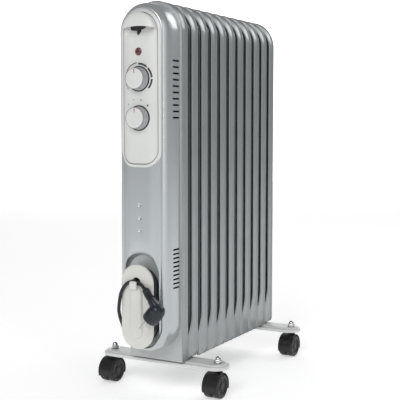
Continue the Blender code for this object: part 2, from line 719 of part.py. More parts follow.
def make_bars():
    """Pressed steel foot bars: a shallow tray turned upside down, drilled for the casters and
    for the U-bolt."""
    outer = bar_outline(BAR_HALF_LENGTH, BAR_HALF_WIDTH)
    inner = bar_outline(BAR_HALF_LENGTH - BAR_WALL, BAR_HALF_WIDTH - BAR_WALL)
    holes = []
    for x, radius in ((-CASTER_X, 0.0044), (CASTER_X, 0.0044), (-U_LEG, 0.0029), (U_LEG, 0.0029)):
        holes.append(arc((x, 0), radius, 0, 360, 12)[:-1])
    bar = place(prism([outer] + holes, BAR_TOP - BAR_DEPTH, BAR_TOP, "Z"), "foot_bar_front", WHITE_PAINT,
                (0, BAR_Y[0], 0))
    tray = prism([inner], 0.02, BAR_TOP - BAR_WALL, "Z")
    boolean(bar, as_cutter(tray, "foot_bar_tray", (0, BAR_Y[0], 0)))
    settle(bar)
    place(bar.data, "foot_bar_rear", WHITE_PAINT, (0, BAR_Y[1], 0))


def make_u_bolt(name, y):
    top = [(x, 0, z) for x, z in arc((0, HUB_LOW), U_LEG, 0, 180, 12)]
    legs = [(U_LEG, 0, 0.0420), (U_LEG, 0, 0.0700)] + top + [(-U_LEG, 0, 0.0700), (-U_LEG, 0, 0.0420)]
    place(tube(legs, U_ROD), f"u_bolt_{name}", STEEL, (0, y, 0))
    high = BAR_TOP - BAR_WALL - GAP
    for side, x in (("left", -U_LEG), ("right", U_LEG)):
        round_nut = cylinder(0.0052, high - 0.0065, high, "Z", 12)
        nut = place(round_nut, f"wing_nut_{name}_{side}", STEEL, (x, y, 0))
        wings = block((-0.0012, -0.0130, high - 0.0080), (0.0012, 0.0130, high - 0.0020))
        boolean(nut, as_cutter(wings, f"wings_{name}_{side}", (x, y, 0)), "UNION")
        thread = cylinder(0.0029, 0.03, 0.06, "Z", 12)
        boolean(nut, as_cutter(thread, f"thread_{name}_{side}", (x, y, 0)))


def make_dome_nut(name, x, y):
    seat = BAR_TOP + GAP
    profile = [(0, seat + 0.0115), (0.0032, seat + 0.0106), (0.0054, seat + 0.0078),
               (0.0062, seat + 0.0050),
               (0.0066, seat + 0.0010), (0.0076, seat), (0.0044, seat), (0.0044, seat + 0.0083),
               (0, seat + 0.0083)]
    place(turned(profile, "Z", 12), name, CHROME, (x, y, 0))


def make_caster(name, x, y):
    """Twin-wheel caster: a hooded housing that swivels on its stem and two wheels on one axle.
    The axle trails towards -Y."""
    swivel = bpy.data.objects.new(f"swivel_{name}", None)
    PARTS.objects.link(swivel)
    swivel.parent = HEATER
    swivel.location = (x, y, 0)
    axle = (0, -TRAIL, AXLE_HIGH)
    hood = place(cylinder(FENDER, -WHEEL_OUT, WHEEL_OUT, "X", 16), f"caster_{name}", BLACK, axle, swivel)
    neck = turned([(0, BAR_TOP + 0.008), (STEM_RADIUS, BAR_TOP + 0.008),
                   (STEM_RADIUS, BAR_TOP - BAR_DEPTH + 0.0015),
                   (0.0068, BAR_TOP - BAR_DEPTH + 0.0010), (0.0075, 0.0360), (0, 0.0360)], "Z", 12)
    boolean(hood, as_cutter(neck, f"neck_{name}", (0, 0, 0), swivel), "UNION")
    for side in (-1, 1):
        inner, outer = sorted((side * (WHEEL_IN - GAP), side * (WHEEL_OUT + 0.003)))
        bay = cylinder(WHEEL_RADIUS + 0.0009, inner, outer, "X", 16)
        boolean(hood, as_cutter(bay, f"bay_{name}_{side}", axle, swivel))
    below = block((-0.03, -0.04, -0.03), (0.03, 0.04, -0.0080))
    boolean(hood, as_cutter(below, f"below_{name}", axle, swivel))
    pin = cylinder(AXLE_RADIUS, -0.0118, 0.0118, "X", 12)
    boolean(hood, as_cutter(pin, f"axle_{name}", axle, swivel), "UNION")
    profile = [(0, WHEEL_OUT - 0.0010), (0.0145, WHEEL_OUT - 0.0010), (0.0160, WHEEL_OUT),
               (0.0185, WHEEL_OUT), (WHEEL_RADIUS, WHEEL_OUT - 0.0018), (WHEEL_RADIUS, WHEEL_IN + 0.0005),
               (0.0190, WHEEL_IN), (AXLE_RADIUS + 0.0005, WHEEL_IN),
               (AXLE_RADIUS + 0.0005, 0.0122), (0, 0.0122)]
    spin = math.pi / 2 + math.pi / WHEEL_SIDES
    right = turned(profile, "X", WHEEL_SIDES, spin)
    place(right, f"wheel_{name}_right", BLACK, axle, swivel)
    left = right.copy()
    left.transform(Matrix.Scale(-1, 4, (1, 0, 0)))
    left.flip_normals()
    place(left, f"wheel_{name}_left", BLACK, axle, swivel)


make_fins()
make_heating_element()
make_casing()
make_back_plate()
make_panel()
make_knob("thermostat", THERMOSTAT_Z, 0.0160, 0.0150)
make_knob("selector", SELECTOR_Z, 0.0145, 0.0140)
make_indicator()
make_tilt_switch()
make_thermal_cutout()
make_winder()
make_cord()
make_plug()
make_bars()
for end, bar_y in zip(("front", "rear"), BAR_Y):
    make_u_bolt(end, bar_y)
    for side, side_x in (("left", -CASTER_X), ("right", CASTER_X)):
        make_dome_nut(f"dome_nut_{end}_{side}", side_x, bar_y)
        make_caster(f"{end}_{side}", side_x, bar_y)
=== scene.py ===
"""Looks of the oil filled radiator heater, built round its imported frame.

Metres, +Z up, the controls face -Y. FRONT is the plane of the first fin's rear lip, and the
depths of the casing, the panel and the winder are given from it. The fixed pieces ride on the
heater's body; knobs, casters and wheels ride on their own.
"""
import math

import bmesh
import bpy
from mathutils import Matrix, Vector


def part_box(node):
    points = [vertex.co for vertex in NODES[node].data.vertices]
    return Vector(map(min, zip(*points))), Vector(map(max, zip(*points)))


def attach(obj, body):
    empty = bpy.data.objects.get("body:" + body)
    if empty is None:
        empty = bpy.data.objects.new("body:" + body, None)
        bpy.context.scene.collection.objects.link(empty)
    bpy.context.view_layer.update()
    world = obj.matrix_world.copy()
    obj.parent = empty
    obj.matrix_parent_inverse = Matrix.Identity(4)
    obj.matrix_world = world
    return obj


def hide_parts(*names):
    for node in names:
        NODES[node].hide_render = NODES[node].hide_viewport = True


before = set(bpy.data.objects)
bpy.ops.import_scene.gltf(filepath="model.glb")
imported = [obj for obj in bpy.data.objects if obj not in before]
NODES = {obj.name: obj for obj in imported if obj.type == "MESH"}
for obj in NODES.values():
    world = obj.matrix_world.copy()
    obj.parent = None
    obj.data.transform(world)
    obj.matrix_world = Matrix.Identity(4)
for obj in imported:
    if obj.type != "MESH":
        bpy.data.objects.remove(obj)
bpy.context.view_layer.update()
BODY = "heater"

# ------------------------------------------------------------------ sizes

VIEW_TURN = 28.84  # the photo's view, in degrees round Z from straight ahead
GAP = 0.0003  # clearance between a fin's swept lip and the fin in front
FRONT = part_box("fin_01")[1].y - 0.0015
FIN_COUNT = 11
FIN_PITCH = 0.03324
FIN_HALF = 0.050
FIN_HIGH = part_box("fin_01")[1].z
FIN_SPRING = FIN_HIGH - FIN_HALF
BAND = 0.0196
SLOT_TIP = 0.035
SLOT_LOW = 0.130
CORE_HALF = 0.042
CORE_LOW = 0.060
CORE_HIGH = 0.6265
HUB_LEVELS = (0.097, 0.588)
HUB_RADIUS = 0.017

CASE_LOW, CASE_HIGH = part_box("front_casing")[0].z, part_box("front_casing")[1].z
CASE_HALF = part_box("front_casing")[1].x
FACE_PROFILE = [(0, -0.0425), (0.0012, -0.0505), (0.0055, -0.0570), (0.0090, -0.0600),
                (0.0120, -0.0595), (0.0180, -0.0635), (0.0280, -0.0665), (0.0400, -0.0665)]
VENT_ROWS = ((0.4490, 0.5375), (0.1795, 0.2405))
VENTS_IN_ROW = 10
BAY = (0.0308, 0.0807, 0.2325)
BAY_FLOOR = -0.0525
DISC = (0.0293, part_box("winder_disc")[0].z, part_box("winder_disc")[1].z)
DISC_FRONT = -0.0770
DISC_BACK = -0.0725
OVAL = (0.0098, 0.1020, 0.1840)
HOOK_X = -0.0015
HOOK_Z = 0.1922
HOOK_HALF = 0.0060

PANEL = (0.0315, 0.3765, 0.6120, 0.021)
PANEL_ARC_STEPS = 28
PANEL_PROUD = 0.0012
LIP_Z = 0.586
SCOOP_HALF, SCOOP_LOW, SCOOP_HIGH, SCOOP_DEPTH = 0.0265, 0.5640, 0.5940, 0.0070
HOOD_CENTRE = 0.6120 - 0.0315
LAMP_Z = 0.551
THERMOSTAT_Z = 0.5092
SELECTOR_Z = 0.4484
KNOB_FRONT = -0.0815
CAP_RADIUS = 0.0158
BASE_RADIUS = 0.0184
FLUTES = 60

CORD_RADIUS = 0.0028
TURN_LOW, TURN_HIGH = 0.1185, 0.1845
LANES = (-0.0576, -0.0633, -0.0690)
INNER_TURN, OUTER_TURN = 0.0192, 0.0249
PLUG_AT = (0.0308, -0.0925, 0.1650)
PLUG_TURN = 41
PIN_SPACING = 0.019

BAR_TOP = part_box("foot_bar_front")[1].z
BAR_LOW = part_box("foot_bar_front")[0].z
BAR_HALF_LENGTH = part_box("foot_bar_front")[1].x
BAR_HALF_WIDTH = 0.022
WHEEL_RADIUS = 0.0196
FENDER = 0.0223
WHEEL_OUT = 0.0137
STEM_BACK = 0.010
SPOKES = 6

ENDS = ("front", "rear")
SIDES = ("left", "right")
CORNERS = [f"{end}_{side}" for end in ENDS for side in SIDES]


def at(x, y, z):
    """A point whose depth is given from the first fin's rear lip."""
    return Vector((x, FRONT + y, z))


def add_object(name, data):
    made = bpy.data.objects.new(name, data)
    bpy.context.scene.collection.objects.link(made)
    return made


def set_inputs(node, values):
    for socket, value in values.items():
        node.inputs[socket].default_value = value


# ------------------------------------------------------------------ camera

def make_camera():
    data = bpy.data.cameras.new("camera")
    data.lens = 79.71
    data.sensor_width = 36
    camera = add_object("camera", data)
    camera.location = (0.75224, -1.36338, 0.43664)
    camera.rotation_euler = (math.radians(85.2), 0, math.radians(VIEW_TURN))
    bpy.context.scene.camera = camera


# ------------------------------------------------------------------ materials

def new_material(name, roughness, metallic=0.0, coat=0.0):
    made = bpy.data.materials.new(name)
    made.use_nodes = True
    shader = made.node_tree.nodes["Principled BSDF"]
    set_inputs(shader, {"Roughness": roughness, "Metallic": metallic, "Coat Weight": coat,
                        "Coat Roughness": 0.1, "IOR": 1.5})
    return made, made.node_tree, shader


def add_noise(tree, scale, detail=3.0, stretch=(1, 1, 1)):
    """Noise on the object's own coordinates, optionally stretched along an axis."""
    where = tree.nodes.new("ShaderNodeTexCoord")
    mapping = tree.nodes.new("ShaderNodeMapping")
    mapping.inputs["Scale"].default_value = stretch
    noise = tree.nodes.new("ShaderNodeTexNoise")
    set_inputs(noise, {"Scale": scale, "Detail": detail})
    tree.links.new(where.outputs["Object"], mapping.inputs["Vector"])
    tree.links.new(mapping.outputs["Vector"], noise.inputs["Vector"])
    return noise


def mix_colour(tree, shader, noise, low, high):
    ramp = tree.nodes.new("ShaderNodeValToRGB")
    ramp.color_ramp.elements[0].position = 0.35
    ramp.color_ramp.elements[0].color = (*low, 1)
    ramp.color_ramp.elements[1].position = 0.65
    ramp.color_ramp.elements[1].color = (*high, 1)
    tree.links.new(noise.outputs["Fac"], ramp.inputs["Fac"])
    tree.links.new(ramp.outputs["Color"], shader.inputs["Base Color"])


def vary_roughness(tree, shader, noise, low, high):
    spread = tree.nodes.new("ShaderNodeMapRange")
    set_inputs(spread, {"From Min": 0.3, "From Max": 0.7, "To Min": low, "To Max": high})
    tree.links.new(noise.outputs["Fac"], spread.inputs["Value"])
    tree.links.new(spread.outputs["Result"], shader.inputs["Roughness"])


def add_bump(tree, shader, noise, strength, distance):
    bump = tree.nodes.new("ShaderNodeBump")
    set_inputs(bump, {"Strength": strength, "Distance": distance})
    tree.links.new(noise.outputs["Fac"], bump.inputs["Height"])
    tree.links.new(bump.outputs["Normal"], shader.inputs["Normal"])


def finish_material(name, low, high, roughness, metallic=0.0, coat=0.0, tint_scale=40.0,
                    grain_scale=900.0, grain=0.15, depth=0.0001, stretch=(1, 1, 1)):
    """A surface with a slow change of tint, an uneven gloss and a fine grain."""
    made, tree, shader = new_material(name, sum(roughness) / 2, metallic, coat)
    tint = add_noise(tree, tint_scale)
    mix_colour(tree, shader, tint, low, high)
    vary_roughness(tree, shader, add_noise(tree, tint_scale * 3), *roughness)
    add_bump(tree, shader, add_noise(tree, grain_scale, 2.0, stretch), grain, depth)
    return made


FIN_ENAMEL = finish_material("fin_enamel", (0.325, 0.350, 0.360), (0.345, 0.370, 0.380),
                             (0.30, 0.38), metallic=0.6, coat=0.2, tint_scale=25, grain_scale=90,
                             grain=0.01, depth=0.0002)
CASE_METALLIC = finish_material("casing_metallic", (0.48, 0.515, 0.53), (0.54, 0.575, 0.59),
                                (0.26, 0.34), metallic=0.75, coat=0.3, tint_scale=1400,
                                grain_scale=2200, grain=0.10)
BAY_METALLIC = finish_material("bay_metallic", (0.50, 0.53, 0.54), (0.55, 0.58, 0.59), (0.34, 0.42),
                               metallic=0.3, coat=0.1, tint_scale=1200, grain_scale=1800, grain=0.12)
PLATE_ENAMEL = finish_material("plate_enamel", (0.46, 0.48, 0.48), (0.49, 0.505, 0.505), (0.36, 0.45),
                               metallic=0.2, coat=0.15, tint_scale=30, grain_scale=90, grain=0.01,
                               depth=0.0002)
PANEL_WHITE = finish_material("panel_white", (0.665, 0.675, 0.66), (0.69, 0.70, 0.685), (0.30, 0.38),
                              tint_scale=20, grain_scale=2600, grain=0.10, depth=0.00008)
DISC_WHITE = finish_material("disc_white", (0.67, 0.675, 0.635), (0.69, 0.695, 0.655), (0.30, 0.38),
                             tint_scale=20, grain_scale=2600, grain=0.10, depth=0.00008)
KNOB_WHITE = finish_material("knob_white", (0.66, 0.67, 0.655), (0.69, 0.70, 0.685), (0.28, 0.36),
                             tint_scale=60, grain_scale=2600, grain=0.12, depth=0.00008)
KNOB_GREY = finish_material("knob_grey", (0.36, 0.375, 0.385), (0.40, 0.41, 0.42), (0.32, 0.42),
                            tint_scale=80, grain_scale=2600, grain=0.15)
# Black print, also used as painted shade in the V notch under the hood.
PRINT_BLACK_AND_SHADE = finish_material("print_black_and_painted_shade", (0.012, 0.012, 0.013), (0.02, 0.02, 0.021), (0.45, 0.55),
                              tint_scale=300, grain_scale=3000, grain=0.1, depth=0.00005)
PRINT_GREY = finish_material("print_grey", (0.13, 0.135, 0.135), (0.17, 0.17, 0.17), (0.45, 0.55),
                             tint_scale=300, grain_scale=3000, grain=0.1, depth=0.00005)
POINTER_RED = finish_material("pointer_red", (0.36, 0.03, 0.045), (0.42, 0.04, 0.055), (0.35, 0.45),
                              tint_scale=300, grain_scale=3000, grain=0.1, depth=0.00005)
BAR_WHITE = finish_material("bar_white", (0.68, 0.69, 0.68), (0.72, 0.73, 0.72), (0.36, 0.46),
                            coat=0.15, grain_scale=700, grain=0.2, depth=0.0002)
PLUG_PVC = finish_material("plug_pvc", (0.006, 0.010, 0.018), (0.010, 0.016, 0.027), (0.28, 0.38),
                           tint_scale=200, grain_scale=3500, grain=0.3)
CORD_PVC = finish_material("cord_pvc", (0.005, 0.007, 0.011), (0.009, 0.011, 0.016), (0.32, 0.44),
                           tint_scale=160, grain_scale=1500, grain=0.15)
NYLON_BLACK = finish_material("nylon_black", (0.004, 0.004, 0.005), (0.008, 0.008, 0.009), (0.30, 0.42),
                              tint_scale=120, grain_scale=2400, grain=0.25)
WHEEL_BLACK = finish_material("wheel_black", (0.003, 0.003, 0.004), (0.007, 0.007, 0.008), (0.36, 0.50),
                              tint_scale=90, grain_scale=1600, grain=0.3, depth=0.00015)
CHROME = finish_material("chrome_plate", (0.56, 0.56, 0.57), (0.62, 0.62, 0.63), (0.05, 0.10),
                         metallic=1.0, tint_scale=120, grain_scale=1800, grain=0.04, depth=0.00005)
ZINC = finish_material("zinc_steel", (0.50, 0.51, 0.52), (0.60, 0.60, 0.60), (0.28, 0.42),
                       metallic=1.0, tint_scale=220, grain_scale=1400, grain=0.25)
BRASS = finish_material("turned_brass", (0.66, 0.50, 0.24), (0.74, 0.58, 0.30), (0.22, 0.34),
                        metallic=1.0, tint_scale=200, grain_scale=1600, grain=0.2,
                        stretch=(1, 1, 8))
PHENOLIC = finish_material("phenolic", (0.055, 0.035, 0.028), (0.08, 0.05, 0.04), (0.40, 0.52),
                           tint_scale=300, grain_scale=1800, grain=0.2)
# Black of the switch parts, also used as painted shade in the vent slots and under the hood.
SWITCH_BLACK_AND_SHADE = finish_material("switch_black_and_painted_shade", (0.02, 0.02, 0.022), (0.03, 0.03, 0.032), (0.4, 0.5),
                               tint_scale=200, grain_scale=2000, grain=0.2)


def make_lens_material():
    """Ribbed translucent red over a dark lamp."""
    made, tree, shader = new_material("lens_red", 0.18, coat=0.5)
    shader.inputs["Transmission Weight"].default_value = 0.15
    speckle = add_noise(tree, 900, 2.0)
    mix_colour(tree, shader, speckle, (0.075, 0.014, 0.018), (0.17, 0.045, 0.05))
    add_bump(tree, shader, speckle, 0.5, 0.0003)
    return made


LENS_RED = make_lens_material()


def make_glowing(name, low, high, glow):
    """A pale studio surface that is lit a little by itself."""
    made, tree, shader = new_material(name, 0.9)
    mix_colour(tree, shader, add_noise(tree, 3.0), low, high)
    set_inputs(shader, {"Emission Color": (1, 1, 1, 1), "Emission Strength": glow})
    return made


# ------------------------------------------------------------------ mesh helpers

def new_piece(mesh, name, finish, body=BODY, sharp=35):
    """An object for one visible piece, smooth except at its real edges."""
    thing = add_object(name, mesh)
    mesh.materials.append(finish)
    mesh.shade_smooth()
    mesh.set_sharp_from_angle(angle=math.radians(sharp))
    if body:
        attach(thing, body)
    return thing


def mesh_of(work, name="piece"):
    bmesh.ops.remove_doubles(work, verts=work.verts, dist=0.000002)
    bmesh.ops.recalc_face_normals(work, faces=work.faces)
    mesh = bpy.data.meshes.new(name)
    work.to_mesh(mesh)
    work.free()
    return mesh


def add_loft(work, rings, cap_first=True, cap_last=True, loop=False):
    """Skin rings of equal point count. A cap is a fan round the ring's own middle."""
    rows = [[work.verts.new(point) for point in ring] for ring in rings]
    pairs = list(zip(rows, rows[1:]))
    if loop:
        pairs.append((rows[-1], rows[0]))
    count = len(rows[0])
    for row, following in pairs:
        for i in range(count):
            j = (i + 1) % count
            work.faces.new((row[i], row[j], following[j], following[i]))
    for row, wanted in ((rows[0], cap_first), (rows[-1], cap_last)):
        if wanted:
            middle = work.verts.new(sum((vert.co for vert in row), Vector()) / count)
            for i in range(count):
                work.faces.new((row[i], row[(i + 1) % count], middle))
    return rows


def loft(rings, **options):
    work = bmesh.new()
    add_loft(work, rings, **options)
    return mesh_of(work)


def hoop(rings):
    """Skin rings into a closed hoop, its last ring joined to its first."""
    return loft(rings, cap_first=False, cap_last=False, loop=True)


def arc(centre, radius, start, end, steps):
    """Points on an arc, angles in degrees from +across towards +up."""
    made = []
    for i in range(steps + 1):
        angle = math.radians(start + (end - start) * i / steps)
        made.append((centre[0] + radius * math.cos(angle), centre[1] + radius * math.sin(angle)))
    return made


def circle(radius, steps, start=0):
    return arc((0, 0), radius, start, start + 360, steps)[:-1]


def facing_rings(centre, levels, steps):
    """Upright circles square to Y round a point, from (radius, depth) pairs."""
    return [[(centre[0] + x, centre[1] + depth, centre[2] + z) for x, z in circle(radius, steps)]
            for radius, depth in levels]


def level_rings(centre, levels, steps, start=0):
    """Level circles round a point, from (radius, height) pairs."""
    return [[(centre[0] + x, centre[1] + y, centre[2] + height) for x, y in circle(radius, steps, start)]
            for radius, height in levels]


def run(start, end, steps):
    """Points between two points, both left out."""
    made = []
    for i in range(1, steps):
        share = i / steps
        made.append((start[0] + (end[0] - start[0]) * share, start[1] + (end[1] - start[1]) * share))
    return made


def stadium(half, low, high, steps=28, sides=8):
    """An upright outline with round ends."""
    top = arc((0, high - half), half, 0, 180, steps)
    bottom = arc((0, low + half), half, 180, 360, steps)
    return top + run(top[-1], bottom[0], sides) + bottom + run(bottom[-1], top[0], sides)


def upright_rings(size, levels, steps, sides):
    """Upright outlines with round ends, from (inset, depth) pairs."""
    half, low, high = size
    rings = []
    for inset, depth in levels:
        outline = stadium(half - inset, low + inset, high - inset, steps, sides)
        rings.append([at(x, depth, z) for x, z in outline])
    return rings


def panel_outline(inset):
    """Round top, straight sides and rounded lower corners, moved inwards by an inset."""
    half, low, high, corner = PANEL
    reach = max(half - inset, 0.0004)
    bend = max(corner - inset, 0.0004)
    floor = low + inset
    top = arc((0, high - half), reach, 0, 180, PANEL_ARC_STEPS)
    left = arc((-reach + bend, floor + bend), bend, 180, 270, 8)
    right = arc((reach - bend, floor + bend), bend, 270, 360, 8)
    return (top + run(top[-1], left[0], 60) + left + run(left[-1], right[0], 8) + right
            + run(right[-1], top[0], 60))


def zip_cap(work, row, apex):
    """Close a mirrored ring with strips straight across it, from its apex down."""
    count = len(row)
    for i in range(apex, apex + count // 2):
        corners = []
        for place in (i, i + 1, 2 * apex - i - 1, 2 * apex - i):
            if row[place % count] not in corners:
                corners.append(row[place % count])
        if len(corners) > 2:
            work.faces.new(corners)


def turned(profile, axis, centre, steps=48):
    """A turned shape from (radius, height) points that start and end on the axis."""
    along = {"X": Vector((1, 0, 0)), "Y": Vector((0, 1, 0)), "Z": Vector((0, 0, 1))}[axis]
    first = Vector((0, 0, 1)) if axis != "Z" else Vector((1, 0, 0))
    second = along.cross(first)
    work = bmesh.new()
    rings = []
    for radius, height in profile:
        ring = []
        for i in range(steps):
            angle = 2 * math.pi * i / steps
            out = first * math.cos(angle) + second * math.sin(angle)
            ring.append(Vector(centre) + along * height + out * max(radius, 0.00001))
        rings.append(ring)
    add_loft(work, rings)
    return mesh_of(work)


def interpolate(points, value):
    """Smooth height of a profile given as (across, height) points, flat beyond its ends."""
    if value <= points[0][0]:
        return points[0][1]
    if value >= points[-1][0]:
        return points[-1][1]
    for i in range(len(points) - 1):
        if value <= points[i + 1][0]:
            break
    before, start = points[max(i - 1, 0)], points[i]
    end, after = points[i + 1], points[min(i + 2, len(points) - 1)]
    width = end[0] - start[0]
    t = (value - start[0]) / width
    slope_in = (end[1] - before[1]) / max(end[0] - before[0], 1e-9) * width
    slope_out = (after[1] - start[1]) / max(after[0] - start[0], 1e-9) * width
    return ((2 * t ** 3 - 3 * t ** 2 + 1) * start[1] + (t ** 3 - 2 * t ** 2 + t) * slope_in
            + (3 * t ** 2 - 2 * t ** 3) * end[1] + (t ** 3 - t ** 2) * slope_out)


def smooth_line(points, per_piece):
    """Points on a smooth curve through a route's own points."""
    anchors = [Vector(p) for p in points]
    anchors = [2 * anchors[0] - anchors[1]] + anchors + [2 * anchors[-1] - anchors[-2]]
    made = []
    for a, b, c, d in zip(anchors, anchors[1:], anchors[2:], anchors[3:]):
        for i in range(per_piece):
            t = i / per_piece
            made.append(0.5 * (2 * b + (c - a) * t + (2 * a - 5 * b + 4 * c - d) * t * t
                               + (3 * b - a - 3 * c + d) * t ** 3))
    made.append(anchors[-2])
    return made


def apply_modifiers(thing):
    """Replace a piece's mesh by its modifiers' result."""
    bpy.context.view_layer.update()
    seen = thing.evaluated_get(bpy.context.evaluated_depsgraph_get())
    mesh = bpy.data.meshes.new_from_object(seen)
    thing.modifiers.clear()
    thing.data = mesh
    mesh.shade_smooth()


def cut(thing, meshes, operation="DIFFERENCE", sharp=32):
    """Cut meshes out of a piece, or join them to it."""
    cutters = []
    for mesh in meshes:
        cutter = add_object("cutter", mesh)
        step = thing.modifiers.new("cut", "BOOLEAN")
        step.operation = operation
        step.solver = "EXACT"
        step.object = cutter
        cutters.append(cutter)
    apply_modifiers(thing)
    thing.data.set_sharp_from_angle(angle=math.radians(sharp))
    for cutter in cutters:
        bpy.data.objects.remove(cutter)


def bevel(thing, width, sharp=30):
    step = thing.modifiers.new("round", "BEVEL")
    step.width = width
    step.segments = 2
    step.limit_method = "ANGLE"
    step.angle_limit = math.radians(30)
    apply_modifiers(thing)
    thing.data.set_sharp_from_angle(angle=math.radians(sharp))


def block(low, high):
    work = bmesh.new()
    bmesh.ops.create_cube(work, size=1.0)
    bmesh.ops.scale(work, vec=Vector(high) - Vector(low), verts=work.verts)
    bmesh.ops.translate(work, vec=(Vector(high) + Vector(low)) / 2, verts=work.verts)
    return mesh_of(work)


# ------------------------------------------------------------------ fins

def slot_edge(above):
    """How far forward the fin's front lip sits: straight along the slot, then swept forward
    along an arc to the fin in front. `above` is the distance past the slot's straight part."""
    depth = FIN_PITCH - BAND
    sweep = 2 * math.atan(depth / SLOT_TIP)
    radius = SLOT_TIP / math.sin(sweep)
    if above <= 0:
        return -BAND
    if above >= SLOT_TIP:
        return -FIN_PITCH + GAP
    return max(-BAND - radius + math.sqrt(radius ** 2 - above ** 2), -FIN_PITCH + GAP)


def fin_path(low):
    """The band's path up one side, over the top and down the other, as (x, z, out x, out z, side)."""
    heights = [low + rise for rise in (0, 0.0006, 0.0015, 0.003, 0.005, 0.0075)] + [0.075, 0.085, 0.095]
    heights += [SLOT_LOW - 0.035 + 0.0035 * i for i in range(1, 11)]
    heights += [SLOT_LOW + (FIN_SPRING - SLOT_LOW) * i / 8 for i in range(1, 8)]
    side = [(-FIN_HALF, z, -1, 0) for z in heights]
    over = []
    steps = 40
    for i in range(steps + 1):
        angle = math.pi - math.pi * i / steps
        out = (math.cos(angle), math.sin(angle))
        over.append((FIN_HALF * out[0], FIN_SPRING + FIN_HALF * out[1], *out))
    return side + over + [(-x, z, 1, 0) for x, z, _, _ in reversed(side)]


def band_section(point, low, first):
    """Section of the band at one point of its path, a rolled lip at its front and rear edge."""
    x, z, out_x, out_z = point
    if z <= FIN_SPRING:
        past = SLOT_LOW - z
    else:
        angle = math.asin(min(1.0, (z - FIN_SPRING) / FIN_HALF))
        past = angle * FIN_HALF
    front = -BAND if first else slot_edge(past)
    corner = 0.007
    up = min(z - low, corner)
    rear = -(corner - math.sqrt(corner ** 2 - (corner - up) ** 2))
    loop = [(0.0016, rear), (0.0006, rear - 0.0003), (0, rear - 0.0012), (0.0001, rear - 0.0022),
            (0.0008, rear - 0.0034), (0.0017, rear - 0.0046), (0.0019, rear - 0.0062),
            (0.0019, front + 0.0062), (0.0017, front + 0.0046), (0.0008, front + 0.0034),
            (0.0001, front + 0.0022), (0, front + 0.0012), (0.0006, front + 0.0003), (0.0016, front),
            (0.0026, front + 0.0003), (0.0031, front + 0.0014), (0.0031, rear - 0.0014),
            (0.0026, rear - 0.0003)]
    return [(x - out_x * inset, y, z - out_z * inset) for inset, y in loop]


def web_outline(inset, low):
    """The web's outline, with as many points as the oil panel's."""
    half = FIN_HALF - inset
    top = arc((0, FIN_SPRING), half, 0, 180, 28)
    foot = low + 0.0004
    bottom = [(-half, foot)] + run((-half, foot), (half, foot), 28) + [(half, foot)]
    return top + run(top[-1], bottom[0], 8) + bottom + run(bottom[-1], top[0], 8)


def core_outline(inset):
    return stadium(CORE_HALF - inset, CORE_LOW + inset, CORE_HIGH - inset)


def make_fin(number, low):
    """One pressed fin: the band with rolled lips, the web, and the oil panel pressed into it."""
    name = f"fin_{number:02d}"
    shift = Vector((0, FRONT + (number - 1) * FIN_PITCH, 0))
    first, last = number == 1, number == FIN_COUNT
    work = bmesh.new()
    add_loft(work, [band_section(point, low, first) for point in fin_path(low)])
    rings = [[(x, -0.0014, z) for x, z in web_outline(0.0016, low)]]
    rings += [[(x, 0, z) for x, z in web_outline(0.0016, low)]]
    for inset, y in ((-0.0012, 0), (0, 0.0003), (0.0008, 0.0011), (0.0020, 0.0015), (0.0130, 0.0015),
                     (0.0145, 0.0011), (0.0155, 0.0004), (0.0175, 0.0002)):
        rings.append([(x, y, z) for x, z in core_outline(inset)])
    rings.reverse()
    for inset, y in ((-0.0012, -0.0014), (0, -0.0020), (0.0006, -0.0060), (0.0020, -0.0098),
                     (0.0050, -0.0112)):
        rings.append([(x, y, z) for x, z in core_outline(inset)])
    add_loft(work, rings)
    collar_front = -BAND + 0.0016 if first else -FIN_PITCH + 0.0018
    for level in HUB_LEVELS:
        if first and level == HUB_LEVELS[1]:
            continue
        collar = ((HUB_RADIUS, collar_front), (HUB_RADIUS, -0.0110))
        add_loft(work, facing_rings((0, 0, level), collar, 28))
    if last:
        boss = ((0.0175, 0), (0.0172, 0.0010), (0.0162, 0.0014), (0.0120, 0.0014), (0.0108, 0.0006))
        for level in HUB_LEVELS:
            add_loft(work, facing_rings((0, 0, level), boss, 36))
    bmesh.ops.translate(work, vec=shift, verts=work.verts)
    piece = new_piece(mesh_of(work), f"pressed_fin_{number:02d}", FIN_ENAMEL, sharp=40)
    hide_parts(name)


def make_fins():
    for number in range(1, FIN_COUNT + 1):
        make_fin(number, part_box(f"fin_{number:02d}")[0].z)


# ------------------------------------------------------------------ casing

def inset_of(x, z):
    """Distance inwards from the casing's outline."""
    spine = min(max(z, CASE_LOW + CASE_HALF), CASE_HIGH - CASE_HALF)
    return CASE_HALF - math.hypot(x, z - spine)


def face_y(x, z):
    """Depth of the casing's face."""
    return interpolate(FACE_PROFILE, inset_of(x, z))


def case_rings():
    """The walls straight forward from the first fin, then the crowned face."""
    insets = [0.00015, 0.0004, 0.0008, 0.0013, 0.0020, 0.0028, 0.0037, 0.0047, 0.0057, 0.0068, 0.0079, 0.0090,
             0.0100, 0.0110, 0.0120, 0.0132, 0.0146, 0.0162, 0.0180, 0.0200, 0.0222, 0.0246, 0.0270,
             0.0300, 0.0340, 0.0380, 0.0420, 0.0452]
    levels = [(0, -0.0199), (0, -0.0310), (0, -0.0420)]
    levels += [(inset, interpolate(FACE_PROFILE, inset)) for inset in insets]
    return upright_rings((CASE_HALF, CASE_LOW, CASE_HIGH), levels, 36, 20)


def bay_cutter():
    """The winder's bay, with a soft rim."""
    levels = ((0.0030, BAY_FLOOR), (0.0008, BAY_FLOOR - 0.0007), (0, BAY_FLOOR - 0.0030),
              (-0.0002, -0.0585), (-0.0009, -0.0612), (-0.0022, -0.0633), (-0.0042, -0.0648),
              (-0.0068, -0.0658), (-0.0100, -0.0666), (-0.0150, -0.0674), (-0.0180, -0.0800))
    return loft(upright_rings(BAY, levels, 36, 12))


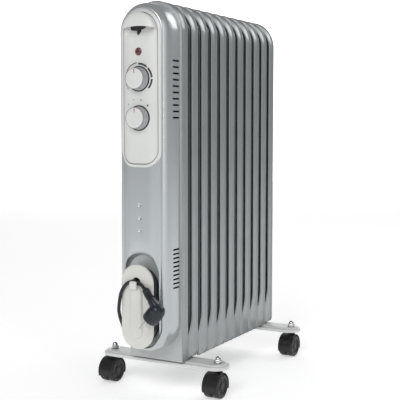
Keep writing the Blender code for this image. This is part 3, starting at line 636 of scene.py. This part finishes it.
def vent_cutters():
    """Two rows of slots in each side wall."""
    made = []
    for low, high in VENT_ROWS:
        for side in (-1, 1):
            for i in range(VENTS_IN_ROW):
                level = low + (high - low) * i / (VENTS_IN_ROW - 1)
                rings = []
                for x in (CASE_HALF - 0.009, CASE_HALF + 0.002):
                    outline = arc((-0.0238, 0), 0.0014, -90, 90, 6) + arc((-0.0402, 0), 0.0014, 90, 270, 6)
                    rings.append([at(side * x, y, level + z) for y, z in outline])
                made.append(loft(rings))
    return made


def dimple_cutters():
    """Three shallow round dimples above the winder, each a part of a ball."""
    made = []
    for level in (0.312, 0.292, 0.272):
        reach, depth = 0.0034, 0.0011
        radius = (reach ** 2 + depth ** 2) / (2 * depth)
        middle = face_y(0, level) - radius + depth
        profile = []
        for i in range(13):
            angle = math.pi * i / 12
            profile.append((radius * math.sin(angle), radius * math.cos(angle)))
        made.append(turned(profile, "Y", at(0, middle, level), 32))
    return made


def make_casing():
    """The casing, with its vents, dimples, winder bay and a pocket for the panel cut out."""
    casing = new_piece(loft(case_rings()), "front_cover", CASE_METALLIC)
    pocket = loft([[at(x, y, z) for x, z in panel_outline(-0.0012)] for y in (-0.0565, -0.0800)])
    joined = bmesh.new()
    for mesh in vent_cutters() + dimple_cutters():
        joined.from_mesh(mesh)
    fine = bpy.data.meshes.new("cuts")
    joined.to_mesh(fine)
    joined.free()
    cut(casing, [bay_cutter(), fine, pocket])
    casing.data.materials.clear()
    for finish in (CASE_METALLIC, BAY_METALLIC, SWITCH_BLACK_AND_SHADE):
        casing.data.materials.append(finish)
    for polygon in casing.data.polygons:
        polygon.material_index = 0
        middle = polygon.center
        inside_bay = abs(middle.x) < BAY[0] - 0.0004 and BAY[1] < middle.z < BAY[2]
        if inside_bay and middle.y > FRONT - 0.0555:
            polygon.material_index = 1
        # Slot walls and floors take the black finish: painted shade inside the vent slots.
        by_vents = any(low - 0.004 < middle.z < high + 0.004 for low, high in VENT_ROWS)
        in_wall = 0.030 < abs(middle.x) < CASE_HALF - 0.0003
        if by_vents and in_wall and -0.0418 < middle.y - FRONT < -0.0215:
            polygon.material_index = 2
    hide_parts("front_casing")


# ------------------------------------------------------------------ control panel

def scoop(x, z):
    """How far the panel dips in under the hood's lip."""
    if z < SCOOP_LOW or abs(x) > SCOOP_HALF:
        return 0.0
    rise = min(1.0, (z - SCOOP_LOW) / (LIP_Z - 0.0035 - SCOOP_LOW))
    fall = 1.0 if z < SCOOP_HIGH else max(0.0, 1 - (z - SCOOP_HIGH) / 0.004)
    across = 1 - (abs(x) / SCOOP_HALF) ** 4
    return SCOOP_DEPTH * rise ** 2.4 * across * fall


def panel_y(x, z, proud=PANEL_PROUD):
    """Depth of the panel's face."""
    return face_y(x, z) - proud + scoop(x, z)


def make_bezel():
    """White rim round the panel, its inner edge dropping into the shadow groove."""
    rings = []
    for out, proud in ((-0.0004, -0.0015), (-0.0004, 0.0010), (-0.0008, 0.0015), (-0.0014, 0.0018),
                       (-0.0024, 0.0019), (-0.0036, 0.0018), (-0.0044, 0.0014), (-0.0049, 0.0008),
                       (-0.0050, -0.0002), (-0.0048, -0.0015)):
        rings.append([at(x, face_y(x, z) - proud, z) for x, z in panel_outline(out)])
    bezel = new_piece(hoop(rings), "panel_rim", PANEL_WHITE)
    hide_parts("panel_bezel")


def make_panel():
    """The white face inside the rim, dipping in under the hood."""
    rings = [[at(x, face_y(x, z) + 0.0015, z) for x, z in panel_outline(0.0006)]]
    for inset, proud in ((0.0006, -0.0002), (0.0009, 0.0006), (0.0014, 0.0010), (0.0022, 0.0012)):
        rings.append([at(x, panel_y(x, z, proud), z) for x, z in panel_outline(inset)])
    for i in range(1, 25):
        inset = 0.0022 + 0.0268 * i / 24
        rings.append([at(x, panel_y(x, z), z) for x, z in panel_outline(inset)])
    work = bmesh.new()
    rows = add_loft(work, rings, cap_last=False)
    zip_cap(work, rows[-1], PANEL_ARC_STEPS // 2)
    panel = new_piece(mesh_of(work), "control_fascia", PANEL_WHITE, sharp=45)
    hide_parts("control_panel")


def hood_depth(x, z):
    """The hood's crowned face."""
    reach = min(1.0, math.hypot(x, z - HOOD_CENTRE) / PANEL[0])
    return -0.0676 - 0.0079 * math.sqrt(max(0.0, 1 - reach ** 2.6))


def make_hood():
    """Half dome over the finger recess, an open skin made solid."""
    radius = PANEL[0] - 0.0002
    start = math.degrees(math.asin((LIP_Z - HOOD_CENTRE) / radius))
    over = arc((0, HOOD_CENTRE), radius, start, 180 - start, 40)
    lip = [over[-1]] + run(over[-1], over[0], 24) + [over[0]]
    lip = [(x, z + 0.0036 * (1 - (x / over[0][0]) ** 2)) for x, z in lip]
    outline = over + lip[1:-1]
    rows = []
    for share in (1, 0.985, 0.96, 0.93, 0.89, 0.84, 0.77, 0.68, 0.57, 0.45, 0.32, 0.18, 0.06):
        ring = []
        for x, z in outline:
            px, pz = x * share, LIP_Z + 0.008 + (z - LIP_Z - 0.008) * share
            ring.append(at(px, hood_depth(px, pz), pz))
        rows.append(ring)
    hood = new_piece(loft(rows, cap_first=False), "panel_hood", PANEL_WHITE)
    solid = hood.modifiers.new("wall", "SOLIDIFY")
    solid.thickness = 0.0016
    solid.offset = -1
    apply_modifiers(hood)
    bevel(hood, 0.0004, 40)


def make_recess():
    """The finger recess under the hood: a black plate of painted shade in its small V notch, and a dark sheet
    of painted shade under the hood's lip.
    """
    # Black plate on the dish: painted shade standing for the dark inside of the small V notch.
    notch = [(-0.0062, 0.5850), (0.0018, 0.5850), (-0.0010, 0.5770), (-0.0034, 0.5770)]
    rings = [[at(x, panel_y(x, z) - lift, z) for x, z in notch] for lift in (0.0014, -0.0006)]
    notch_shade = new_piece(loft(rings), "recess_notch_shade", PRINT_BLACK_AND_SHADE)
    bevel(notch_shade, 0.0003)

    # Dark sheet behind the hood's lip: painted shade where the hood shadows the dish, no real part.
    rings = []
    for i in range(33):
        x = -0.0228 + 0.0335 * i / 32
        belly = max(0.0, 1 - ((x + 0.0065) / 0.0170) ** 2) ** 0.7
        foot = LIP_Z + 0.0026 - 0.0052 * belly
        rings.append([at(x, -0.0645 + 0.004 * (x / 0.0228) ** 2 + step, z)
                      for z, step in ((foot, 0.0008), (foot, 0), (0.5925, 0), (0.5925, 0.0008))])
    new_piece(loft(rings), "recess_shade_sheet", SWITCH_BLACK_AND_SHADE)


def make_lens():
    profile = [(0, 0.0040), (0.0060, 0.0040), (0.0060, -0.0010), (0.0057, -0.0016), (0.0050, -0.0021),
               (0.0040, -0.0025), (0.0028, -0.0028), (0.0014, -0.0030), (0, -0.0030)]
    base = at(0, face_y(0, LAMP_Z) - 0.0004, LAMP_Z)
    lens = new_piece(turned(profile, "Y", base, 40), "pilot_lens", LENS_RED)
    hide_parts("indicator_lens")
    rim = ((0.0061, 0.0010), (0.0068, 0.0010), (0.0068, -0.0014), (0.0065, -0.0017), (0.0061, -0.0014))
    new_piece(hoop(facing_rings(base, rim, 48)), "pilot_lens_rim", PANEL_WHITE)


def printed_arc(level, start, end, radius, wide_start, wide_end, name, finish, steps=24):
    """A printed arc on the panel whose width may grow. Angles run clockwise from straight up."""
    rings = []
    for i in range(steps + 1):
        share = i / steps
        angle = math.radians(start + (end - start) * share)
        wide = wide_start + (wide_end - wide_start) * share
        section = []
        for r, lift in ((radius - wide / 2, -0.0002), (radius + wide / 2, -0.0002),
                        (radius + wide / 2, 0.00022), (radius - wide / 2, 0.00022)):
            x, z = r * math.sin(angle), level + r * math.cos(angle)
            section.append(at(x, panel_y(x, z) - lift, z))
        rings.append(section)
    new_piece(loft(rings), name, finish)


def printed_dot(level, angle, radius, size, name, finish):
    turn = math.radians(angle)
    x, z = radius * math.sin(turn), level + radius * math.cos(turn)
    profile = [(0, 0.0004), (size, 0.0004), (size, -0.00022), (0, -0.00022)]
    new_piece(turned(profile, "Y", at(x, panel_y(x, z), z), 20), name, finish)


def make_knob(name, level):
    """A knob in its own pieces: grey skirt with fine flutes, white cap with a grey rim, red
    pointer, and the black seat that stays on the panel."""
    body = f"{name}_dial"
    back = face_y(0, level) - PANEL_PROUD - 0.0006
    skirt_profile = ((0.0100, back, 0), (BASE_RADIUS - 0.0008, back, 0),
                     (BASE_RADIUS - 0.0003, back - 0.0006, 0),
                     (BASE_RADIUS - 0.0008, back - 0.0022, 0), (0.0172, back - 0.0036, 0.00015),
                     (0.0168, back - 0.0060, 0.00022), (0.0165, back - 0.0095, 0.00022),
                     (0.0163, KNOB_FRONT + 0.0012, 0.0001), (0.0161, KNOB_FRONT + 0.0007, 0),
                     (0.0100, KNOB_FRONT + 0.0006, 0))
    rings = []
    for radius, y, depth in skirt_profile:
        ring = []
        for i in range(FLUTES * 4):
            angle = 2 * math.pi * i / (FLUTES * 4)
            wave = radius - depth * (0.5 - 0.5 * math.cos(angle * FLUTES))
            ring.append(at(wave * math.cos(angle), y, level + wave * math.sin(angle)))
        rings.append(ring)
    skirt = new_piece(loft(rings), f"{name}_skirt", KNOB_GREY, body)
    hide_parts(f"{name}_knob")
    profile = [(0, 0.0012), (CAP_RADIUS - 0.0003, 0.0012), (CAP_RADIUS, 0.0008),
               (CAP_RADIUS - 0.0002, 0.0003), (CAP_RADIUS - 0.0008, 0), (0.0120, -0.0001),
               (0.0060, -0.0002), (0, -0.0002)]
    cap = turned(profile, "Y", at(0, KNOB_FRONT + 0.0002, level), 64)
    new_piece(cap, f"{name}_cap", KNOB_WHITE, body)
    profile = [(CAP_RADIUS + 0.0001, 0.0006), (CAP_RADIUS + 0.0007, 0.0006),
               (CAP_RADIUS + 0.0006, 0.0001), (CAP_RADIUS + 0.0001, 0.0001)]
    rim = hoop(facing_rings(at(0, KNOB_FRONT + 0.0004, level), profile, 72))
    new_piece(rim, f"{name}_cap_rim", PRINT_GREY, body)
    pointer = block(at(-0.0007, KNOB_FRONT - 0.0002, level + 0.0085),
                    at(0.0007, KNOB_FRONT + 0.0010, level + 0.0146))
    mark = new_piece(pointer, f"{name}_pointer", POINTER_RED, body)
    bevel(mark, 0.00015)
    rings = []
    for radius, lift in ((0.0150, -0.0006), (0.0150, 0.0003), (0.0196, 0.0003), (0.0199, 0.0001),
                         (0.0199, -0.0006)):
        rings.append([at(x, panel_y(x, level + z) - lift, level + z) for x, z in circle(radius, 72)])
    new_piece(hoop(rings), f"{name}_seat", PRINT_BLACK_AND_SHADE)


def make_dials():
    """Both knobs, the thermostat's printed arcs and the selector's printed dots."""
    make_knob("thermostat", THERMOSTAT_Z)
    make_knob("selector", SELECTOR_Z)
    printed_arc(THERMOSTAT_Z, -130, -8, 0.0250, 0.0008, 0.0020, "dial_arc_low", PRINT_GREY, 48)
    for i, (start, end) in enumerate(((-2, 40), (46, 86), (92, 130))):
        printed_arc(THERMOSTAT_Z, start, end, 0.0232, 0.0028, 0.0028, f"dial_arc_high_{i + 1}", PRINT_BLACK_AND_SHADE)
    marks = ((-42, 0.0290, 0.0009), (-18, 0.0300, 0.0008), (8, 0.0280, 0.0012), (40, 0.0252, 0.0014))
    for i, (angle, radius, size) in enumerate(marks):
        finish = PRINT_BLACK_AND_SHADE if i == 3 else PRINT_GREY
        printed_dot(SELECTOR_Z, angle, radius, size, f"selector_mark_{i + 1}", finish)


# ------------------------------------------------------------------ winder

def make_winder():
    """The winder's plate with a window over its hook, the tongue on the plate, and the hook."""
    levels = ((0.0030, DISC_BACK), (0.0006, DISC_BACK), (0, DISC_BACK - 0.0006), (0, DISC_FRONT + 0.0016),
              (0.0003, DISC_FRONT + 0.0008), (0.0009, DISC_FRONT + 0.0002), (0.0018, DISC_FRONT),
              (0.0090, DISC_FRONT), (0.0180, DISC_FRONT))
    plate = loft(upright_rings(DISC, levels, 36, 10))
    disc = new_piece(plate, "winder_plate", DISC_WHITE)
    window_low = HOOK_Z - 0.0040
    outline = arc((HOOK_X + 0.0010, HOOK_Z - 0.0010), 0.0075, 0, 180, 24)
    outline += [(HOOK_X - 0.0065, window_low), (HOOK_X + 0.0085, window_low)]
    cutter = loft([[at(x, y, z) for x, z in outline] for y in (DISC_BACK + 0.001, DISC_FRONT - 0.001)])
    cut(disc, [cutter])
    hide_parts("winder_disc")

    levels = ((-0.0016, DISC_FRONT + 0.0004), (-0.0014, DISC_FRONT - 0.0002), (-0.0008, DISC_FRONT - 0.0012),
              (-0.0002, DISC_FRONT - 0.0026), (0.0005, DISC_FRONT - 0.0034), (0.0014, DISC_FRONT - 0.0038),
              (0.0024, DISC_FRONT - 0.0039), (0.0070, DISC_FRONT - 0.0039))
    new_piece(loft(upright_rings(OVAL, levels, 28, 8)), "winder_grip", DISC_WHITE)

    shelf = HOOK_Z - CORD_RADIUS - 0.0024
    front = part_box("winder_disc")[0].y - FRONT
    side = [(DISC_FRONT + 0.0006, shelf - 0.0075), (front + 0.0022, shelf - 0.0070),
            (front + 0.0006, shelf - 0.0045), (front, shelf - 0.0015), (front, HOOK_Z - 0.0010),
            (front + 0.0007, HOOK_Z + 0.0010), (front + 0.0018, HOOK_Z + 0.0014),
            (front + 0.0030, HOOK_Z + 0.0008), (front + 0.0033, HOOK_Z - 0.0010),
            (front + 0.0034, shelf + 0.0006), (front + 0.0042, shelf), (DISC_FRONT + 0.0006, shelf)]
    rings = []
    for share in (-1, -0.93, -0.8, -0.4, 0, 0.4, 0.8, 0.93, 1):
        drop = 0.0014 * max(0.0, abs(share) - 0.75) / 0.25
        ring = []
        for y, z in side:
            ring.append(at(HOOK_X + HOOK_HALF * share, y, z - (drop if z > shelf else 0)))
        rings.append(ring)
    hook = new_piece(loft(rings), "winder_hook", DISC_WHITE)
    bevel(hook, 0.0004, 40)


# ------------------------------------------------------------------ cord and plug

CORD_ROUTE = [
    (-0.0245, -0.0692, 0.1000), (-0.0290, -0.0692, 0.1082), (-0.0312, -0.0702, 0.1175),
    (-0.0331, -0.0728, 0.1265), (-0.0332, -0.0764, 0.1355), (-0.0326, -0.0792, 0.1440),
    (-0.0311, -0.0804, 0.1530), (-0.0298, -0.0804, 0.1620), (-0.0275, -0.0803, 0.1719),
    (-0.0230, -0.0803, 0.1806), (-0.0163, -0.0803, 0.1878), (-0.0082, -0.0803, 0.1916),
    (0.0002, -0.0803, 0.1921), (0.0079, -0.0804, 0.1897), (0.0142, -0.0814, 0.1858),
    (0.0203, -0.0837, 0.1814),
]
CORD_START = [
    (-0.0078, -0.0576, 0.1540), (-0.0108, -0.0576, 0.1625), (-0.0145, -0.0576, 0.1705),
    (-0.0178, -0.0576, 0.1775),
]


def turn_points(radius, from_lane, to_lane, steps=12, until=None):
    """One turn round the spool, clockwise from its left side at the upper arc's spring line,
    changing lane as it passes under the lower arc."""
    made = [(-radius, from_lane, TURN_HIGH)]
    for i in range(1, steps + 1):
        angle = math.pi - math.pi * i / steps
        made.append((radius * math.cos(angle), from_lane, TURN_HIGH + radius * math.sin(angle)))
    for i in range(1, 4):
        made.append((radius, from_lane, TURN_HIGH + (TURN_LOW - TURN_HIGH) * i / 4))
    reach = math.pi if until is None else until
    for i in range(steps + 1):
        share = i / steps
        angle = -reach * share
        lane = from_lane + (to_lane - from_lane) * (3 - 2 * share) * share * share
        made.append((radius * math.cos(angle), lane, TURN_LOW + radius * math.sin(angle)))
    if until is None:
        for i in range(1, 4):
            made.append((-radius, to_lane, TURN_LOW + (TURN_HIGH - TURN_LOW) * i / 4))
    return made


def grow(points, extra, share_from=0.0):
    """Raise a turn's radius by an extra amount along its lower arc, to the next layer."""
    made = []
    count = len(points)
    for i, (x, y, z) in enumerate(points):
        share = min(1.0, max(0.0, (i / (count - 1) - share_from) / (1 - share_from)))
        share = share * share * (3 - 2 * share)
        centre = TURN_HIGH if z > TURN_HIGH else (TURN_LOW if z < TURN_LOW else z)
        out = Vector((x, 0, z - centre)).normalized()
        made.append((x + out.x * extra * share, y, z + out.z * extra * share))
    return made


def cord_line():
    rear, middle, front = LANES
    layer = OUTER_TURN - INNER_TURN
    points = list(CORD_START)
    points += turn_points(INNER_TURN, rear, middle)
    points += turn_points(INNER_TURN, middle, front)
    points += grow(turn_points(INNER_TURN, front, rear), layer, 0.45)
    points += turn_points(OUTER_TURN, rear, middle)
    last = turn_points(OUTER_TURN, middle, CORD_ROUTE[0][1], until=math.radians(118))
    points += grow(last, 0.0307 - OUTER_TURN, 0.55)
    points += CORD_ROUTE
    clean = [Vector(points[0])]
    for point in points[1:]:
        if (Vector(point) - clean[-1]).length > 0.0025:
            clean.append(Vector(point))
    return [at(*point) for point in smooth_line(clean, 3)]


def plug_matrix():
    return Matrix.Translation(at(*PLUG_AT)) @ Matrix.Rotation(math.radians(PLUG_TURN), 4, "Y")


def plug_piece(mesh, name, finish):
    mesh.transform(plug_matrix())
    return new_piece(mesh, name, finish)


def make_plug():
    """Angled plug: a round head with a stepped rim and two flats, a grip, a ribbed boot over the
    cord's end, two metal pins, and four ribs on each flat."""
    middle = 0.0205
    profile = [(0, 0.0128), (0.0052, 0.0122), (0.0085, 0.0104), (0.0108, 0.0078), (0.0122, 0.0048),
               (0.0130, 0.0018), (0.0132, -0.0010), (0.0126, -0.0014), (0.0126, -0.0024),
               (0.0131, -0.0030), (0.0132, -0.0090), (0.0132, -0.0180), (0.0126, -0.0190),
               (0.0060, -0.0188), (0, -0.0188)]
    shape = turned(profile, "Z", (middle, 0, 0), 48)
    for vert in shape.vertices:
        vert.co.y = max(-0.0122, min(0.0122, vert.co.y))
    head = plug_piece(shape, "plug_head", PLUG_PVC)
    rings = []
    for x, wide, low, high in ((-0.0005, 0.0050, 0.0022, 0.0122), (0.0030, 0.0062, 0.0004, 0.0126),
                               (0.0080, 0.0074, -0.0006, 0.0126), (0.0140, 0.0080, -0.0010, 0.0124),
                               (0.0200, 0.0078, -0.0008, 0.0112), (0.0240, 0.0066, 0.0010, 0.0092)):
        ring = []
        for i in range(32):
            angle = 2 * math.pi * i / 32
            c, s = math.cos(angle), math.sin(angle)
            across = math.copysign(abs(c) ** 0.6, c) * wide
            up = (low + high) / 2 + math.copysign(abs(s) ** 0.6, s) * (high - low) / 2
            ring.append((x, across, up))
        rings.append(ring)
    grip = loft(rings)
    grip.transform(plug_matrix())
    cut(head, [grip], "UNION", 40)
    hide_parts("plug")

    turn = plug_matrix().inverted()
    start = turn @ at(*CORD_ROUTE[-1])
    before = turn @ at(*CORD_ROUTE[-2])
    along = (start - before).normalized()
    line = smooth_line([start - along * 0.0030, start + along * 0.0040, Vector((-0.0080, 0.0030, 0.0066)),
                        Vector((0.0010, 0.0005, 0.0073))], 14)
    rings = []
    count = len(line)
    for i, point in enumerate(line):
        share = i / (count - 1)
        ahead = (line[min(i + 1, count - 1)] - line[max(i - 1, 0)]).normalized()
        side = ahead.cross(Vector((0, 1, 0))).normalized()
        over = side.cross(ahead).normalized()
        rib = 0.0005 if 6 < i < count - 10 and (i // 2) % 2 else 0.0
        radius = 0.0036 + 0.0018 * min(1.0, share * 6) + 0.0010 * share - rib
        rings.append([point + (side * math.cos(a) + over * math.sin(a)) * radius
                      for a in [2 * math.pi * k / 28 for k in range(28)]])
    boot = plug_piece(loft(rings), "plug_boot", PLUG_PVC)
    boot.data.set_sharp_from_angle(angle=math.radians(28))

    work = bmesh.new()
    pin = ((0.0023, -0.0170), (0.0024, -0.0185), (0.0024, -0.0352), (0.0021, -0.0366), (0.0012, -0.0374))
    for side in (-1, 1):
        add_loft(work, level_rings((middle, side * PIN_SPACING / 2, 0), pin, 24))
    pins = plug_piece(mesh_of(work), "plug_pins", ZINC)
    work = bmesh.new()
    for level in (-0.0045, -0.0075, -0.0105, -0.0135):
        for side in (-1, 1):
            outline = [(middle - 0.0040, level), (middle + 0.0040, level),
                       (middle + 0.0040, level - 0.0012), (middle - 0.0040, level - 0.0012)]
            add_loft(work, [[(x, side * y, z) for x, z in outline] for y in (0.0115, 0.0127)])
    ribs = plug_piece(mesh_of(work), "plug_ribs", PLUG_PVC)
    return [head, boot, pins, ribs]


def make_cord(plug_pieces):
    curve = bpy.data.curves.new("mains_cord", "CURVE")
    curve.dimensions = "3D"
    curve.bevel_depth = CORD_RADIUS
    curve.bevel_resolution = 4
    curve.use_fill_caps = True
    line = cord_line()
    spline = curve.splines.new("POLY")
    spline.points.add(len(line) - 1)
    for point, place_at in zip(spline.points, line):
        point.co = (*place_at, 1)
    spline.use_smooth = True
    cord = add_object("mains_cord", curve)
    curve.materials.append(CORD_PVC)
    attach(cord, BODY)
    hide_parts("cord_lead", "cord_winding")


# ------------------------------------------------------------------ feet

def lying(half_length, half_width):
    """A level outline with round ends, lengthwise along X."""
    reach = half_length - half_width
    right = arc((reach, 0), half_width, -90, 90, 20)
    left = arc((-reach, 0), half_width, 90, 270, 20)
    return right + run(right[-1], left[0], 16) + left + run(left[-1], right[0], 16)


def make_bars():
    """Pressed bars: a stepped rim round a raised plateau, hollow underneath."""
    profile = [(0.0016, BAR_LOW), (0.0004, BAR_LOW), (0, BAR_LOW + 0.0006), (0, BAR_TOP - 0.0042),
               (0.0004, BAR_TOP - 0.0033), (0.0012, BAR_TOP - 0.0028), (0.0032, BAR_TOP - 0.0027),
               (0.0040, BAR_TOP - 0.0022), (0.0045, BAR_TOP - 0.0008), (0.0051, BAR_TOP - 0.0002),
               (0.0062, BAR_TOP), (0.0120, BAR_TOP), (0.0215, BAR_TOP)]
    inside = [(0.0216, BAR_TOP - 0.0016), (0.0080, BAR_TOP - 0.0016), (0.0022, BAR_TOP - 0.0044),
              (0.0017, BAR_TOP - 0.0050)]
    for end in ENDS:
        low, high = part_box(f"foot_bar_{end}")
        middle = (low.y + high.y) / 2
        rings = []
        for inset, z in profile + inside:
            outline = lying(BAR_HALF_LENGTH - inset, max(BAR_HALF_WIDTH - inset, 0.0002))
            rings.append([(x, middle + y, z) for x, y in outline])
        bar = new_piece(hoop(rings), f"bar_{end}", BAR_WHITE)
        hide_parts(f"foot_bar_{end}")


def make_dome_nut(corner):
    """A washer, a hexagon and a dome over it."""
    low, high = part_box(f"dome_nut_{corner}")
    base = ((low.x + high.x) / 2, (low.y + high.y) / 2, low.z)
    washer = ((0.0030, 0), (0.0072, 0), (0.0074, 0.0004), (0.0070, 0.0009), (0.0052, 0.0011))
    hexagon = ((0.0050, 0.0010), (0.0061, 0.0011), (0.0064, 0.0016), (0.0064, 0.0046),
               (0.0060, 0.0051), (0.0050, 0.0053))
    dome = []
    for i in range(13):
        angle = math.pi / 2 * i / 12
        dome.append((max(0.0050 * math.cos(angle), 0.00005), 0.0052 + 0.0060 * math.sin(angle)))
    work = bmesh.new()
    add_loft(work, level_rings(base, washer, 36))
    add_loft(work, level_rings(base, hexagon, 6, 15))
    add_loft(work, level_rings(base, dome, 36))
    nut = new_piece(mesh_of(work), f"cap_nut_{corner}", CHROME, sharp=38)
    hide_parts(f"dome_nut_{corner}")


def make_caster(corner):
    """Hooded housing over twin wheels, with its neck and stem."""
    left_low, left_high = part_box(f"wheel_{corner}_left")
    right_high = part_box(f"wheel_{corner}_right")[1]
    x = (left_low.x + right_high.x) / 2
    y = (left_low.y + left_high.y) / 2
    axle = Vector((x, y, (left_low.z + left_high.z) / 2))
    body = f"caster_{corner}_swivel"
    profile = [(0, WHEEL_OUT), (FENDER - 0.0008, WHEEL_OUT), (FENDER, WHEEL_OUT - 0.0008),
               (FENDER, -WHEEL_OUT + 0.0008), (FENDER - 0.0008, -WHEEL_OUT), (0, -WHEEL_OUT)]
    hood = new_piece(turned(profile, "X", axle, 64), f"housing_{corner}", NYLON_BLACK,
                     None)
    wheel_bay = ((0, 0.0013), (WHEEL_RADIUS + 0.0012, 0.0013), (WHEEL_RADIUS + 0.0012, 0.0180), (0, 0.0180))
    cutters = []
    for side in (-1, 1):
        cutters.append(turned([(radius, side * height) for radius, height in wheel_bay], "X", axle, 64))
    cutters.append(block(axle + Vector((-0.03, -0.04, -0.04)), axle + Vector((0.03, 0.04, -0.0078))))
    cut(hood, cutters)
    neck = [(0, BAR_TOP + 0.0072), (0.0036, BAR_TOP + 0.0070), (0.0040, BAR_TOP + 0.0060), (0.0040, 0.0470),
            (0.0066, 0.0466), (0.0074, 0.0450), (0.0074, 0.0380), (0.0074, 0.0350), (0, 0.0350)]
    stem = (x, y + STEM_BACK, 0)
    pin = [(0, 0.0118), (0.0025, 0.0118), (0.0025, -0.0118), (0, -0.0118)]
    cut(hood, [turned(neck, "Z", stem, 40), turned(pin, "X", axle, 32)], "UNION")
    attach(hood, body)
    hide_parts(f"caster_{corner}")
    for side in SIDES:
        sign = -1 if side == "left" else 1
        outer = [(0, 0.0128), (0.0030, 0.0130), (0.0052, 0.0126), (0.0058, 0.0118), (0.0062, 0.0112),
                 (0.0120, 0.0112), (0.0134, 0.0116), (0.0142, 0.0128), (0.0150, 0.0135), (0.0172, WHEEL_OUT),
                 (0.0184, 0.0134), (0.0192, 0.0126), (WHEEL_RADIUS, 0.0112), (WHEEL_RADIUS, 0.0036),
                 (0.0193, 0.0024), (0.0186, 0.0017), (0.0100, 0.0017), (0.0030, 0.0017), (0.0030, 0.0122),
                 (0, 0.0122)]
        outer = [(radius, sign * height) for radius, height in outer]
        wheel = new_piece(turned(outer, "X", axle, 64), f"tread_{corner}_{side}", WHEEL_BLACK,
                          f"wheel_{corner}_{side}_body")
        add_spokes(wheel, axle, sign)
        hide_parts(f"wheel_{corner}_{side}")


def add_spokes(wheel, axle, sign):
    """Raised ribs on the wheel's outer face, so that it is seen to turn."""
    work = bmesh.new()
    work.from_mesh(wheel.data)
    spoke = ((0.0050, -0.0013), (0.0138, -0.0009), (0.0138, 0.0009), (0.0050, 0.0013))
    for i in range(SPOKES):
        spin = Matrix.Translation(axle) @ Matrix.Rotation(2 * math.pi * i / SPOKES, 4, "X")
        add_loft(work, [[spin @ Vector((sign * height, wide, out)) for out, wide in spoke]
                        for height in (0.0108, 0.0118)])
    bmesh.ops.recalc_face_normals(work, faces=work.faces)
    work.to_mesh(wheel.data)
    work.free()
    wheel.data.shade_smooth()
    wheel.data.set_sharp_from_angle(angle=math.radians(35))


# ------------------------------------------------------------------ carried-over nodes

def repaint():
    """Better materials on the CAD nodes that stay."""
    bolts = [f"u_bolt_{end}" for end in ENDS] + [f"wing_nut_{corner}" for corner in CORNERS]
    steel = ["oil_filler_plug", "heating_element", "element_flange", "thermostat_shaft", "selector_shaft"]
    finishes = [(PLATE_ENAMEL, ["back_plate"]), (PANEL_WHITE, ["winder_spool"]), (ZINC, steel + bolts),
                (PHENOLIC, ["thermostat_switch", "selector_switch", "thermal_cutout"]),
                (SWITCH_BLACK_AND_SHADE, ["indicator_lamp", "tilt_switch_box"]), (BRASS, ["tilt_pendulum"]),
                (PLUG_PVC, ["cord_strain_relief"])]
    for finish, names in finishes:
        for name in names:
            for holder in NODES[name].material_slots:
                holder.material = finish


# ------------------------------------------------------------------ stage and light

def stage_sheet(name, corners, finish):
    """A flat four-cornered sheet of the studio."""
    mesh = bpy.data.meshes.new(name)
    mesh.from_pydata(corners, [], [(0, 1, 2, 3)])
    sheet = add_object(name, mesh)
    mesh.materials.append(finish)


def make_stage():
    """A pale floor, and a lit wall far behind the heater, square to the photo's view."""
    finish = make_glowing("pale_floor", (0.93, 0.93, 0.93), (0.95, 0.95, 0.95), 0.42)
    stage_sheet("floor", [(-6.0, -6.0, 0), (6.0, -6.0, 0), (6.0, 6.0, 0), (-6.0, 6.0, 0)], finish)
    turn = math.radians(VIEW_TURN)
    toward = Vector((-math.sin(turn), math.cos(turn), 0))
    across = Vector((toward.y, -toward.x, 0))
    foot = toward * 5.4
    corners = [foot + across * side + Vector((0, 0, up)) for side, up in
               ((-4.0, 0), (4.0, 0), (4.0, 3.2), (-4.0, 3.2))]
    finish = make_glowing("lit_wall", (0.90, 0.90, 0.90), (0.92, 0.92, 0.92), 1.0)
    stage_sheet("backdrop", corners, finish)


def area_light(name, place_at, aim, size, power):
    data = bpy.data.lights.new(name, "AREA")
    data.shape = "RECTANGLE"
    data.size, data.size_y = size
    data.energy = power
    light = add_object(name, data)
    light.location = place_at
    light.rotation_euler = (Vector(aim) - Vector(place_at)).to_track_quat("-Z", "Y").to_euler()


def make_light():
    world = bpy.data.worlds.new("studio")
    world.use_nodes = True
    set_inputs(world.node_tree.nodes["Background"], {"Color": (1, 1, 1, 1), "Strength": 0.31})
    bpy.context.scene.world = world
    bpy.context.scene.view_settings.view_transform = "Standard"
    area_light("key", (0.35, -2.5, 1.8), (0, 0, 0.35), (1.3, 1.3), 29)
    area_light("side", (1.9, -1.35, 1.0), (0, 0, 0.35), (0.14, 1.9), 5)
    area_light("back", (0.8, 1.8, 1.6), (0, 0.1, 0.35), (1.2, 1.2), 10)


# ------------------------------------------------------------------ the heater

make_camera()
make_cord(make_plug())
make_fins()
make_casing()
make_bezel()
make_panel()
make_hood()
make_recess()
make_lens()
make_dials()
make_winder()
make_bars()
for wheel_corner in CORNERS:
    make_dome_nut(wheel_corner)
    make_caster(wheel_corner)
repaint()
make_stage()
make_light()
